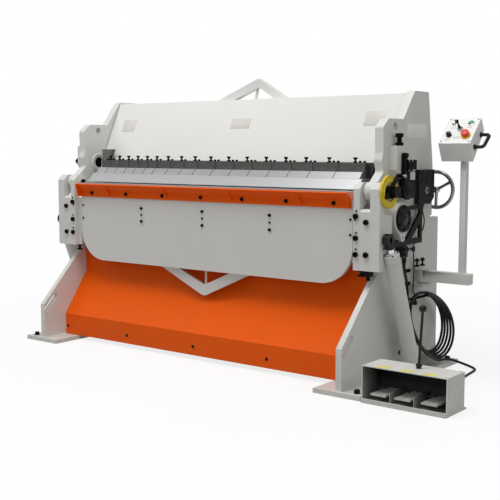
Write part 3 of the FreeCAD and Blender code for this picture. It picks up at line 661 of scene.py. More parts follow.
class Finishes:
    """All finishes of the machine."""

    CREAM = Paint("cream_enamel", (222, 222, 217), 0.45, Slot.CREAM)
    PANEL = Paint("panel_enamel", (246, 246, 243), 0.4)
    COVER = Paint("cover_enamel", (230, 230, 226), 0.42)
    ORANGE = Paint("orange_enamel", (250, 97, 0), 0.45, dust=0.15, coat=0.0, shine=0.12)
    DARK = Paint("dark_grey_enamel", (30, 29, 29), 0.5, dust=0.03, coat=0.0, shine=0.18)
    BLACK = Paint("black_enamel", (10, 9, 9), 0.45, dust=0.02, coat=0.0, shine=0.14)
    GREY = Paint("machine_grey_enamel", (132, 136, 138), 0.45, Slot.GREY)
    PEDAL = Paint("pedal_paint", (204, 204, 200), 0.5, Slot.IRON, dust=0.5, coat=0.0)
    PLATE = Paint("blank_plate_yellow", (238, 226, 128), 0.4, Slot.YELLOW, dust=0.0, coat=0.1)
    PALE_PLATE = Paint("blank_plate_pale", (214, 212, 204), 0.4, Slot.CREAM, dust=0.0, coat=0.1)
    WHITE_PLATE = Paint("blank_plate_white", (240, 240, 236), 0.4, Slot.CREAM, dust=0.0, coat=0.1)
    GROUND = GroundSteel("ground_steel", (214, 215, 216), 0.32)
    BRIGHT = GroundSteel("bright_turned_steel", (200, 201, 203), 0.3, Slot.GROUND, stretch=(1.0, 1.0, 1.0))
    STEEL = GroundSteel("worn_steel", (158, 156, 154), 0.3, Slot.GROUND, stretch=(1.0, 1.0, 1.0))
    FINGER = FingerSteel("finger_steel", (210, 211, 212), 0.34)
    BEAM = BeamPaintAndShade("beam_paint_and_shade", (216, 216, 211), 0.45)
    BOX = BoxPaintAndShade("foot_box_paint_and_shade", (222, 222, 217), 0.45)
    BRACKET = BracketPaint("bracket_paint", (220, 220, 215), 0.45)
    CHROME = Chrome("hard_chrome", (214, 216, 219), 0.06, Slot.CHROME)
    ROD = RodChrome("rod_chrome", (214, 216, 219), 0.07)
    OXIDE = Oxide("blackened_steel", (20, 19, 19), 0.45, Slot.OXIDE)
    PLASTIC = Moulded("black_moulding", (11, 11, 11), 0.48, Slot.PLASTIC)
    CLEAR = Moulded("sight_glass", (206, 200, 150), 0.12, Slot.GREY)
    RED = Moulded("red_moulding", (224, 74, 52), 0.36, Slot.RED)
    GREEN = Moulded("green_moulding", (76, 170, 134), 0.36, Slot.GREEN)
    YELLOW = Moulded("yellow_moulding", (232, 196, 24), 0.36, Slot.YELLOW)
    RUBBER = Sheath("cable_sheath", (12, 11, 11), 0.5, Slot.RUBBER)
    DIAL = DialFace("dial_yellow", (250, 222, 30), 0.36)


# Surfaces


def unit(vectors: Points) -> Points:
    """Vectors of length one."""
    return vectors / np.linalg.norm(vectors, axis=-1, keepdims=True)


def basis(axis: Point) -> Points:
    """Three unit rows: two across an axis and the axis itself, right-handed.

    Args:
        axis: direction of the third row.

    Returns:
        A 3 by 3 array; local points times it lie in the frame.
    """
    third = unit(np.asarray(axis, float))
    spare = np.array([1.0, 0, 0]) if abs(third[0]) < 0.8 else np.array([0, 0, 1.0])
    first = unit(np.cross(spare, third))
    return np.array([first, np.cross(third, first), third])


def turns(sides: int) -> Points:
    """Angles once round, the last one short of the first."""
    return np.arange(sides) * (2 * math.pi / sides)


def lathe(profile: Sequence[Point], centre: Point, axis: Point, sides: int = 32) -> Points:
    """A profile carried round an axis: each row is a circle of its radius at its height.

    Args:
        profile: radius and height of each row.
        centre: where the axis starts.
        axis: its direction.
        sides: columns round.

    Returns:
        Rows by columns by 3.
    """
    rows = np.asarray(profile, float)
    angle = turns(sides)
    ring = np.stack([np.cos(angle), np.sin(angle)], -1)
    flat = rows[:, None, :1] * ring[None]
    tall = np.broadcast_to(rows[:, None, 1:], flat.shape[:2] + (1,))
    return np.asarray(centre, float) + np.concatenate([flat, tall], -1) @ basis(axis)


def bolt(rows: Sequence[tuple[str, float, float]], axis: Point, sides: int = 24) -> Points:
    """A bolt head: rows are circles, or hexagons whose radius is flat half-width over cosine.

    Args:
        rows: "round" or "hex", radius or half-width, and height of each row.
        axis: the way the head stands.
        sides: columns round, a multiple of six.

    Returns:
        Rows by columns by 3, about the origin.
    """
    angle = turns(sides)
    sixth = np.mod(angle, math.pi / 3) - math.pi / 6
    shape = {"round": np.ones(sides), "hex": 1 / np.cos(sixth)}
    radius = np.array([shape[kind] * size for kind, size, _ in rows])
    tall = np.broadcast_to(np.array([h for _, _, h in rows])[:, None], radius.shape)
    local = np.stack([radius * np.cos(angle), radius * np.sin(angle), tall], -1)
    return local @ basis(axis)


def socket_head(radius: float, height: float, axis: Point) -> Points:
    """A cap screw: round head with a hexagon recess.

    Args:
        radius: radius of the head.
        height: its height.
        axis: the way it stands.

    Returns:
        Rows by columns by 3, about the origin.
    """
    rim = 0.1 * radius
    rows = [
        ("round", radius, 0), ("round", radius, height - rim), ("round", radius - rim, height),
        ("hex", radius * 0.5, height), ("hex", radius * 0.5, height * 0.45),
    ]
    return bolt(rows, axis)


def hexagon_head(across: float, height: float, axis: Point) -> Points:
    """A hexagon head with a turned chamfer on a thin round washer face.

    Args:
        across: width across flats.
        height: its height.
        axis: the way it stands.

    Returns:
        Rows by columns by 3, about the origin.
    """
    half = across / 2
    rows = [
        ("round", half * 1.16, 0), ("round", half * 1.16, 0.12 * height), ("hex", half, 0.12 * height),
        ("hex", half, 0.86 * height), ("round", half * 0.95, height),
    ]
    return bolt(rows, axis)


def button_head(radius: float, height: float, axis: Point) -> Points:
    """A low domed head with a hexagon recess.

    Args:
        radius: radius of the head.
        height: its height.
        axis: the way it stands.

    Returns:
        Rows by columns by 3, about the origin.
    """
    rows = [
        ("round", radius, 0), ("round", radius * 0.97, height * 0.35),
        ("round", radius * 0.82, height * 0.75), ("round", radius * 0.55, height),
        ("hex", radius * 0.38, height), ("hex", radius * 0.38, height * 0.4),
    ]
    return bolt(rows, axis)


def tube(path: Points, radius: Any, up: Point = UP, sides: int = 16) -> Points:
    """A circle carried along a path, its plane square to the path's heading.

    Args:
        path: points along the middle.
        radius: one radius, or one for each point.
        up: a direction that the path never takes.
        sides: columns round.

    Returns:
        Rows by columns by 3.
    """
    path = np.asarray(path, float)
    heading = unit(np.gradient(path, axis=0))
    side = unit(np.cross(heading, np.asarray(up, float)))
    other = np.cross(side, heading)
    angle = turns(sides)[None, :, None]
    size = np.broadcast_to(np.asarray(radius, float), (len(path),))[:, None, None]
    ring = side[:, None] * np.cos(angle) + other[:, None] * np.sin(angle)
    return path[:, None] + ring * size


def parted(body: Points, axis: Point) -> tuple[Points, Points]:
    """Parts points into their height along an axis through the origin and what stands square to it.

    Args:
        body: points in any grid.
        axis: the axis.

    Returns:
        Heights, and points in the plane through the origin.
    """
    along = unit(np.asarray(axis, float))
    height = body @ along
    return height, body - height[..., None] * along


def fluted(body: Points, axis: Point, teeth: int, depth: float, band: Points) -> Points:
    """Sinks flutes into a lathe form about the origin: depth times a cosine wave of the angle.

    Args:
        body: rows by columns by 3.
        axis: the form's axis.
        teeth: waves once round.
        depth: how far the flutes go in.
        band: one where the form is fluted.

    Returns:
        The fluted form.
    """
    wave = 0.5 - 0.5 * np.cos(turns(body.shape[-2]) * teeth)[None, :, None]
    return body - unit(parted(body, axis)[1] + 1e-9) * wave * depth * band


def thread(radius: float, depth: float, low: float, high: float, count: int) -> list[list[float]]:
    """Rows of a stud whose radius follows a saw of the height, like a thread.

    Args:
        radius: radius at the crests.
        depth: depth of the grooves.
        low: where it starts.
        high: where it ends.
        count: rows.

    Returns:
        Radius and height of each row.
    """
    saw = radius - depth * (np.arange(count) % 2)
    return np.stack([saw, np.linspace(low, high, count)], -1).tolist()


def line(start: Point, end: Point, count: int) -> Points:
    """Points evenly along a line."""
    share = np.linspace(0, 1, count)[:, None]
    return np.asarray(start, float) * (1 - share) + np.asarray(end, float) * share


def arc(centre: Point, radius: float, low: float, high: float, count: int) -> Points:
    """Flat points on an arc: centre plus radius times cosine and sine of angles in degrees."""
    angle = np.radians(np.linspace(low, high, count))
    return np.stack([centre[0] + radius * np.cos(angle), centre[1] + radius * np.sin(angle)], -1)


def bead(start: Point, end: Point, radius: float, up: Point) -> Points:
    """A weld bead: a tube whose radius ripples with the place along it and fades at its ends.

    Args:
        start: where it starts.
        end: where it ends.
        radius: its mean radius.
        up: a direction across it.

    Returns:
        Rows by columns by 3.
    """
    step, wave, swell = 2.0, 5.5, 3.1
    length = float(np.linalg.norm(np.subtract(end, start)))
    count = max(8, int(length / step))
    share = np.linspace(0, 1, count)
    ripple = 1 + 0.10 * np.cos(share * length / wave * 2 * math.pi) + 0.05 * np.sin(share * length / swell)
    fade = np.clip(np.minimum(share, 1 - share) * length / (2 * radius), 0.05, 1) ** 0.5
    return tube(line(start, end, count), radius * ripple * fade, up, 8)


def inset(outline: Points, depth: float) -> Points:
    """A flat outline moved inwards: each corner goes along the sum of its two edge normals.

    Args:
        outline: corners anticlockwise.
        depth: how far its edges move in.

    Returns:
        As many corners.
    """
    edge = unit(np.roll(outline, -1, axis=0) - outline)
    normal = np.stack([-edge[:, 1], edge[:, 0]], -1)
    before = np.roll(normal, 1, axis=0)
    share = 1 + np.sum(before * normal, -1, keepdims=True)
    return outline + depth * (before + normal) / share


def plate(outline: Sequence[Point], along: str, low: float, high: float, edge: float = 1.0) -> Points:
    """A flat outline drawn out along an axis, with its two rims bevelled.

    Args:
        outline: corners anticlockwise, in (y, z), (x, z) or (x, y) by the axis.
        along: "x", "y" or "z".
        low: where it starts.
        high: where it ends.
        edge: width of the bevel.

    Returns:
        Rows by corners by 3.
    """
    flat = np.asarray(outline, float)
    twice = np.sum(flat[:, 0] * np.roll(flat[:, 1], -1) - np.roll(flat[:, 0], -1) * flat[:, 1])
    flat = flat if twice > 0 else flat[::-1]
    small = inset(flat, edge)
    middle = inset(flat, edge * 0.29)
    rows = [
        (small, low), (middle, low + edge * 0.29), (flat, low + edge),
        (flat, high - edge), (middle, high - edge * 0.29), (small, high),
    ]
    place = {"x": 0, "y": 1, "z": 2}[along]
    return np.stack([np.insert(shape, place, depth, axis=1) for shape, depth in rows])


def block(low: Point, high: Point, edge: float = 1.0) -> Points:
    """A block with bevelled rims between two corners."""
    (x0, y0, z0), (x1, y1, z1) = low, high
    return plate([(x0, y0), (x1, y0), (x1, y1), (x0, y1)], "z", z0, z1, edge)


class Shell:
    """Vertices in millimetres and faces of one piece, gathered grid by grid."""

    MERGE = 1e-7
    SHARP = 35.0

    def __init__(self) -> None:
        """Starts empty."""
        self.points: list[Points] = []
        self.faces: list[list[int]] = []
        self.count = 0

    def add(
        self, surface: Points, places: Sequence[Point] = (ORIGIN,), capped: bool = True
    ) -> "Shell":
        """Adds a grid surface whose last column meets its first, or several at once.

        Args:
            surface: rows by columns by 3, or copies by rows by columns by 3.
            places: where it is set, each place added to all its points.
            capped: whether the first and last rows are filled.

        Returns:
            The shell itself.
        """
        grids = np.asarray(places, float)[:, None, None, None] + surface.reshape(-1, *surface.shape[-3:])
        grids = grids.reshape(-1, *surface.shape[-3:])
        number, rows, columns = grids.shape[:3]
        index = self.count + np.arange(number * rows * columns).reshape(number, rows, columns)
        wide = np.concatenate([index, index[:, :, :1]], 2)
        quads = np.stack([wide[:, :-1, :-1], wide[:, :-1, 1:], wide[:, 1:, 1:], wide[:, 1:, :-1]], -1)
        self.faces += quads.reshape(-1, 4).tolist()
        if capped:
            self.faces += index[:, 0, ::-1].tolist() + index[:, -1].tolist()
        self.points.append(grids.reshape(-1, 3))
        self.count += grids.size // 3
        return self

    def build(
        self, name: str, finish: Finish, body: Body = Body.FRAME, slot: Slot | None = None
    ) -> Piece:
        """Makes the piece.

        Args:
            name: its name.
            finish: its finish.
            body: the body it rides on.
            slot: not used.

        Returns:
            The object, at the origin.
        """
        mesh = bpy.data.meshes.new(name)
        mesh.from_pydata(placed(np.concatenate(self.points)).tolist(), [], self.faces)
        tidy_mesh(mesh, self.MERGE, self.SHARP)
        piece = bpy.data.objects.new(name, mesh)
        return settle(piece, finish, body)


def tidy_mesh(mesh: bpy.types.Mesh, distance: float, sharp: float, flat: float = 0.0) -> None:
    """Merges doubles, turns faces outwards and shades smooth between sharp edges.

    Args:
        mesh: the mesh.
        distance: metres within which vertices are one.
        sharp: angle in degrees past which an edge stays sharp.
        flat: angle in degrees under which faces are joined, or zero.
    """
    work = bmesh.new()
    work.from_mesh(mesh)
    bmesh.ops.remove_doubles(work, verts=work.verts, dist=distance)
    bmesh.ops.dissolve_degenerate(work, edges=work.edges, dist=distance)
    if flat:
        bmesh.ops.dissolve_limit(
            work, angle_limit=math.radians(flat), verts=work.verts, edges=work.edges
        )
    bmesh.ops.recalc_face_normals(work, faces=work.faces)
    work.to_mesh(mesh)
    work.free()
    mesh.shade_smooth()
    mesh.set_sharp_from_angle(angle=math.radians(sharp))


def settle(piece: Piece, finish: Finish, body: Body = Body.FRAME) -> Piece:
    """Links a piece, gives it its finish, and sets it on its body.

    Args:
        piece: the piece.
        finish: its finish.
        body: the body it rides on.

    Returns:
        The piece.
    """
    bpy.context.scene.collection.objects.link(piece)
    piece.data.materials.clear()
    piece.data.materials.append(finish.material())
    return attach(piece, body.value)


# Stage


@dataclass(frozen=True)
class StagePaper(Finish):
    """Pale floor, white for the camera and in reflections away from the machine, greyer as a bounce."""

    centre: Two = (0.15, 0.1)
    near: float = 1.5
    far: float = 3.2
    least: float = 0.8
    pale: Three = (252, 252, 252)

    def draw(self, graph: Graph) -> None:
        """Mixes lit paper with white light by the distance from the middle.

        Args:
            graph: the material's nodes.
        """
        path = graph.node("ShaderNodeLightPath")
        rays = path.socket.node.outputs
        graph.set("Base Color", graph.mix(path, seen(*self.colour), seen(*self.pale)))
        graph.set("Roughness", 0.9)
        x, y, _ = graph.axes()
        x, y = x - self.centre[0], y - self.centre[1]
        distance = (x * x + y * y) ** 0.5
        share = graph.clamp((distance - self.near) / (self.far - self.near))
        share = share * (1.0 - self.least) + self.least
        direct = graph.clamp(path + Num(graph, rays["Is Glossy Ray"]))
        white = graph.node("ShaderNodeEmission", None, {"Color": (1, 1, 1, 1), "Strength": 1.0})
        lit = Num(graph, graph.shader.outputs[0])
        mixed = graph.node("ShaderNodeMixShader", None, {0: share * direct, 1: lit, 2: white})
        output = next(n for n in graph.tree.nodes if n.type == "OUTPUT_MATERIAL")
        graph.tree.links.new(mixed.socket, output.inputs[0])


@dataclass
class Studio:
    """Camera at the photograph's place, soft lamps, white surroundings and a pale floor."""

    eye: Three = (3.336, -4.072, 1.124)
    azimuth: float = 38.10
    pitch: float = 6.10
    lens: float = 68.98
    floor_half: float = 7.0
    ambient: float = 0.42
    mirrored: float = 0.35
    aim: Three = (0.1, 0.0, 0.9)

    def camera(self) -> None:
        """Makes the camera and hands it to the scene."""
        data = bpy.data.cameras.new("photo_camera")
        data.lens = self.lens
        data.sensor_width = 36.0
        camera = bpy.data.objects.new("photo_camera", data)
        turn, tip = math.radians(self.azimuth), math.radians(self.pitch)
        heading = (-math.sin(turn) * math.cos(tip), math.cos(turn) * math.cos(tip), -math.sin(tip))
        camera.location = self.eye
        camera.rotation_euler = Vector(heading).to_track_quat("-Z", "Y").to_euler()
        bpy.context.scene.collection.objects.link(camera)
        bpy.context.scene.camera = camera

    def lamp(self, name: str, place: Point, size: float, power: float) -> None:
        """Adds a soft square lamp that looks at the machine's middle.

        Args:
            name: its name.
            place: where it hangs, in metres.
            size: length of its side.
            power: watts.
        """
        data = bpy.data.lights.new(name, "AREA")
        data.shape = "SQUARE"
        data.size = size
        data.energy = power
        lamp = bpy.data.objects.new(name, data)
        lamp.location = place
        lamp.rotation_euler = (Vector(self.aim) - Vector(place)).to_track_quat("-Z", "Y").to_euler()
        bpy.context.scene.collection.objects.link(lamp)

    def surroundings(self) -> None:
        """World: white for the camera and in reflections, dimmer as light."""
        world = bpy.data.worlds.new("studio_white")
        bpy.context.scene.world = world
        world.use_nodes = True
        tree = world.node_tree
        tree.nodes.clear()
        kinds = ("OutputWorld", "LightPath", "Background", "Background", "Math", "MixShader")
        output, path, light, plain, dimmer, blend = (tree.nodes.new("ShaderNode" + k) for k in kinds)
        dimmer.operation = "MULTIPLY_ADD"
        dimmer.inputs[1].default_value = self.mirrored - self.ambient
        dimmer.inputs[2].default_value = self.ambient
        for background in (light, plain):
            background.inputs[0].default_value = (1.0, 1.0, 1.0, 1.0)
        plain.inputs[1].default_value = 1.0
        for start, end in (
            (path.outputs["Is Glossy Ray"], dimmer.inputs[0]), (dimmer.outputs[0], light.inputs[1]),
            (path.outputs["Is Camera Ray"], blend.inputs[0]), (light.outputs[0], blend.inputs[1]),
            (plain.outputs[0], blend.inputs[2]), (blend.outputs[0], output.inputs[0]),
        ):
            tree.links.new(start, end)

    def floor(self) -> None:
        """A grid of floor: x and y run evenly, z is a hair under zero."""
        count, sunk = 15, 0.0005
        span = np.linspace(-self.floor_half, self.floor_half, count)
        x, y = np.meshgrid(span, span, indexing="ij")
        points = np.stack([x, y, np.full_like(x, -sunk)], -1).reshape(-1, 3)
        index = np.arange(count * count).reshape(count, count)
        quads = np.stack([index[:-1, :-1], index[1:, :-1], index[1:, 1:], index[:-1, 1:]], -1)
        mesh = bpy.data.meshes.new("studio_floor")
        mesh.from_pydata(points.tolist(), [], quads.reshape(-1, 4).tolist())
        floor = bpy.data.objects.new("studio_floor", mesh)
        floor.data.materials.append(StagePaper("studio_paper", (168, 168, 168)).material())
        bpy.context.scene.collection.objects.link(floor)

    def build(self) -> None:
        """Sets the whole stage."""
        self.camera()
        self.surroundings()
        self.lamp("key", (0.2, -1.6, 5.2), 2.4, 140.0)
        self.lamp("left_fill", (-3.4, -2.2, 4.0), 2.2, 28.0)
        self.lamp("right_fill", (4.4, -0.8, 3.2), 2.2, 14.0)
        self.lamp("rear_fill", (0.6, 3.6, 3.2), 2.6, 22.0)
        self.floor()
        bpy.context.scene.view_settings.view_transform = "Standard"


# Carried nodes


@dataclass
class Castings:
    """Nodes that keep their form: a merged copy stands for each, its edges softened by a width in mm."""

    nodes: dict[str, Piece]
    slots: dict[str, str]
    bodies: dict[str, str]

    MERGE = 1e-6
    SHARP = 32.0
    FLAT = 0.4
    BEND = 40.0
    LOOKS = {
        "side_frame_left": (Finishes.CREAM, 2.0), "side_frame_right": (Finishes.CREAM, 2.0),
        "bed_beam": (Finishes.CREAM, 2.0), "bed_plate": (Finishes.GROUND, 1.0),
        "cross_members": (Finishes.CREAM, 1.5), "front_cover": (Finishes.ORANGE, 1.0),
        "hinge_pins": (Finishes.OXIDE, 1.0), "guide_blocks": (Finishes.CREAM, 2.5),
        "beam_body": (Finishes.BEAM, 1.5), "beam_cover": (Finishes.COVER, 1.2),
        "nose_bar": (Finishes.GROUND, 0.6), "fingers_3_inch": (Finishes.FINGER, 2.0),
        "fingers_4_inch": (Finishes.FINGER, 2.0), "fingers_5_inch": (Finishes.FINGER, 2.0),
        "fingers_6_inch": (Finishes.FINGER, 2.0), "clamp_cylinders": (Finishes.CREAM, 1.5),
        "clamp_rods": (Finishes.CHROME, 0.8), "apron_plate": (Finishes.CREAM, 2.5),
        "apron_blade": (Finishes.GROUND, 0.6), "apron_angle": (Finishes.ORANGE, 0.8),
        "apron_arm_left": (Finishes.CREAM, 3.0), "apron_arm_right": (Finishes.CREAM, 3.0),
        "apron_adjusters": (Finishes.OXIDE, 1.0), "angle_dial": (Finishes.DIAL, 1.0),
        "stop_lever": (Finishes.OXIDE, 1.2), "ram_barrel_left": (Finishes.CREAM, 1.5),
        "ram_barrel_right": (Finishes.CREAM, 1.5), "ram_rod_left": (Finishes.ROD, 1.0),
        "ram_rod_right": (Finishes.ROD, 1.0), "ram_brackets": (Finishes.CREAM, 1.2),
        "gearbox_bracket": (Finishes.BLACK, 1.2), "gearbox_housing": (Finishes.DARK, 1.2),
        "bearing_housing": (Finishes.CREAM, 2.0), "bearing_cover": (Finishes.BLACK, 2.0),
        "limit_switches": (Finishes.BLACK, 1.2), "pendant_bracket": (Finishes.BRACKET, 1.0),
        "pendant_arm": (Finishes.CREAM, 2.0), "console": (Finishes.PANEL, 1.2),
        "foot_box": (Finishes.BOX, 0.8), "pedal_left": (Finishes.PEDAL, 1.0),
        "pedal_middle": (Finishes.PEDAL, 1.0), "pedal_right": (Finishes.PEDAL, 1.0),
        "carry_pole": (Finishes.PLASTIC, 0.6), "power_unit": (Finishes.GREY, 2.5),
        "cable_fittings": (Finishes.PLASTIC, 0.8),
    }

    def soften(self, name: str, finish: Finish, edge: float) -> Piece:
        """Copies a node's mesh, merges it, joins its flat faces and bevels what stays sharp.

        Args:
            name: the node.
            finish: its finish.
            edge: width of its softened edges.

        Returns:
            The piece that stands for it.
        """
        mesh = self.nodes[name].data.copy()
        tidy_mesh(mesh, self.MERGE, self.SHARP, self.FLAT)
        if name == "pendant_arm":
            self.ease_spigot(mesh)
        piece = bpy.data.objects.new(name + "_finished", mesh)
        bevel = piece.modifiers.new("edges", "BEVEL")
        bevel.width = edge * MM
        bevel.segments = 2
        bevel.limit_method = "ANGLE"
        bevel.angle_limit = math.radians(self.BEND)
        bevel.harden_normals = True
        bevel.miter_outer = "MITER_SHARP"
        settle(piece, finish, Body(self.bodies[name]))
        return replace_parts(piece, name)

    @staticmethod
    def ease_spigot(mesh: bpy.types.Mesh) -> None:
        """Slims the post's round spigot, so that its facets never cross those of the console's socket.

        Each of its points keeps its height and has its distance from the axis scaled down.

        Args:
            mesh: the pendant arm's own copy.
        """
        flat = np.empty(len(mesh.vertices) * 3, dtype=np.float32)
        mesh.vertices.foreach_get("co", flat)
        p = flat.reshape(-1, 3)
        foot = placed((*PendantDress.post, 133.5))
        across = p[:, :2] - foot[:2]
        reach, slimmer = 12 * MM, 0.93
        spigot = (p[:, 2] > foot[2]) & (np.linalg.norm(across, axis=1) < reach)
        p[:, :2] = foot[:2] + across * np.where(spigot, slimmer, 1.0)[:, None]
        mesh.vertices.foreach_set("co", p.ravel())

    def build(self) -> None:
        """Softens every node that no other class replaces."""
        for name, (finish, edge) in self.LOOKS.items():
            self.soften(name, finish, edge)


# Cables


@dataclass
class FootCable:
    """The console's foot cable: a drop into its hank, five turns on a peg, and a run to the pedals."""

    diameter: float = 13.0
    turns: int = 5
    start: float = 225.0
    near: float = 1062.0
    pitch: float = 14.4
    steps: int = 16
    inner: tuple[tuple[float, ...], ...] = (
        (475.0, 160.0, 73.0, -3.0, 4.0), (-678.0, -120.0, 107.0, 1.0, 5.0),
    )
    outer: tuple[tuple[float, ...], ...] = (
        (426.0, 239.0, 50.0, 0.0, 6.0), (-682.0, -121.0, 140.0, 4.0, 4.0),
    )

    def last(self) -> float:
        """The angle at which the last turn ends."""
        return self.start + 360 * self.turns + 45

    def hank_points(self, degrees: Points) -> Points:
        """Points of the hank: y and z are sums of waves of the angle that drift from turn to turn.

        Args:
            degrees: angles along the hank.

        Returns:
            One point for each angle.
        """
        share = (degrees - self.start) / (self.last() - self.start)
        share = (share * share * (3 - 2 * share))[:, None]
        angle = np.radians(degrees)
        waves = [wave(n * angle) for n in (1, 2) for wave in (np.cos, np.sin)]
        waves = np.stack([np.ones_like(angle)] + waves, -1)
        flat = waves @ np.asarray(self.inner).T * (1 - share) + waves @ np.asarray(self.outer).T * share
        x = self.near + self.pitch * (degrees - self.start) / 360
        return np.concatenate([x[:, None], flat], -1)

    def hank_route(self) -> Points:
        """Control points of the hank: straight ends, and turns a little wider than the hank itself.

        A spline of this order cuts its corners, so each point moves out from the middle by half of
        what a polygon's corner stands past its side.

        Returns:
            Control points in millimetres.
        """
        count = int(round((self.last() - self.start) / 360 * self.steps))
        ring = self.hank_points(np.linspace(self.start, self.last(), count + 1))
        half = self.steps // 2
        opposite = ring[:-half] + ring[half:]
        middle = opposite[: len(ring) // 2].mean(0) / 2
        growth = (1 + 1 / math.cos(math.pi / self.steps)) / 2
        ring[1:-1, 1:] = middle[1:] + (ring[1:-1, 1:] - middle[1:]) * growth
        first, final = self.hank_ends()
        return np.concatenate([first[None], ring, final[None]])

    def hank_ends(self) -> tuple[Points, Points]:
        """End points a diameter beyond the turns.

        Returns:
            The first and the last end.
        """
        last = self.last()
        p = self.hank_points(np.array([self.start, self.start + 1, last - 1, last]))
        first = p[0] - unit(p[1] - p[0]) * self.diameter
        return first, p[3] + unit(p[3] - p[2]) * self.diameter

    def drop_route(self) -> Points:
        """Control points from the gland down into the hank.

        Returns:
            Control points in millimetres.
        """
        first, _ = self.hank_ends()
        p = self.hank_points(np.array([self.start, self.start + 1]))
        return np.array([
            (1066, 236, -345), (1066, 236, -380), (1065, 264, -436), (1063, 284, -512),
            first - unit(p[1] - p[0]) * 56, first,
        ])

    def floor_route(self) -> Points:
        """Control points from the hank round the machine's rear corner to the pedals.

        Returns:
            Control points in millimetres.
        """
        _, final = self.hank_ends()
        p = self.hank_points(np.array([self.last() - 1, self.last()]))
        low = FLOOR + self.diameter / 2 + 0.3
        return np.array([
            final, final + unit(p[1] - p[0]) * 40, (1136, 462, -866), (1136, 506, -874),
            (1142, 550, -877), (1166, 594, -886), (1209, 617, -903), (1261, 611, low),
            (1300, 571, low), (1308, 522, low), (1314, 462, low), (1322, 402, low),
            (1332, 342, low), (1345, 280, low), (1362, 216, low), (1384, 152, low),
            (1401, 86, low), (1405, 16, low + 5), (1400, -50, low + 19), (1400, -106, low + 19),
        ])


@dataclass
class Cables:
    """All free cables, with their boots."""

    foot: FootCable
    thin: float = 6.0

    def switch_route(self) -> Points:
        """Control points of the thin cable from the gearbox through its clip to the end box.

        Returns:
            Control points in millimetres.
        """
        return np.array([
            (1066, 414, -88), (1066, 414, -116), (1066, 436, -147), (1063, 439, -190),
            (1057, 422, -222), (1056, 386, -240), (1056, 348, -262), (1056, 348, -334),
            (1066, 338, -382), (1067, 335, -430), (1065, 333, -478), (1055, 350, -506),
            (1047, 379, -518), (1046, 395, -538), (1046, 395, -566),
        ])

    def strand(self, name: str, route: Points, diameter: float, node: str) -> Piece:
        """A cable: one open spline whose control points are its route.

        Args:
            name: its name.
            route: control points in millimetres.
            diameter: in millimetres.
            node: the node it stands for.

        Returns:
            The curve.
        """
        curve = bpy.data.curves.new(name, "CURVE")
        curve.dimensions = "3D"
        curve.bevel_depth = diameter / 2 * MM
        curve.bevel_resolution = 5
        curve.resolution_u = 8
        curve.use_fill_caps = True
        spline = curve.splines.new("NURBS")
        spline.points.add(len(route) - 1)
        flat = np.concatenate([placed(route), np.ones((len(route), 1))], 1)
        spline.points.foreach_set("co", flat.ravel())
        spline.order_u = 3
        spline.use_endpoint_u = True
        piece = bpy.data.objects.new(name, curve)
        settle(piece, Finishes.RUBBER)
        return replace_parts(piece, node)

    def boot(self, name: str, route: Points, diameter: float, length: float) -> Piece:
        """A strain relief: a sleeve with rings that tapers along the first run of a route.

        Args:
            name: its name.
            route: control points of the cable.
            diameter: the cable's diameter.
            length: length of the sleeve.

        Returns:
            The piece.
        """
        start = route[0]
        heading = unit(route[1] - route[0])
        share = np.linspace(0, 1, 22)
        ring = np.where(np.arange(22) % 3 == 1, 0.86, 1.0)
        radius = diameter / 2 * (1.75 - 0.68 * share) * ring
        rows = [(0.1, 0.0)] + [(r, s * length) for r, s in zip(radius, share)]
        rows += [(diameter / 2 + 0.15, length)]
        shell = Shell().add(lathe(rows, start, heading, 20))
        return shell.build(name, Finishes.PLASTIC)

    def build(self) -> None:
        drop, hank, run = self.foot.drop_route(), self.foot.hank_route(), self.foot.floor_route()
        thin = self.switch_route()
        wide = self.foot.diameter
        boot = self.boot("control_cable_boot", drop, wide, 34)
        plug = self.boot("foot_cable_boot", run[::-1], wide, 34)
        top = self.boot("switch_cable_boot", thin, self.thin, 22)
        low = self.boot("switch_cable_end_boot", thin[::-1], self.thin, 20)
        table = [
            ("control_cable_strand", drop, wide, "control_cable", 0.319, "hanging", [boot]),
            ("hank_strand", hank, wide, "cable_hank", 6.185, "coiled", []),
            ("foot_cable_strand", run, wide, "foot_cable", 1.066, "loose", [plug]),
            ("switch_cable_strand", thin, self.thin, "switch_cable", 0.557, "hanging", [top, low]),
        ]
        for name, route, diameter, node, length, lay, others in table:
            piece = self.strand(name, route, diameter, node)
            diameter * MM


# Beam and apron hardware


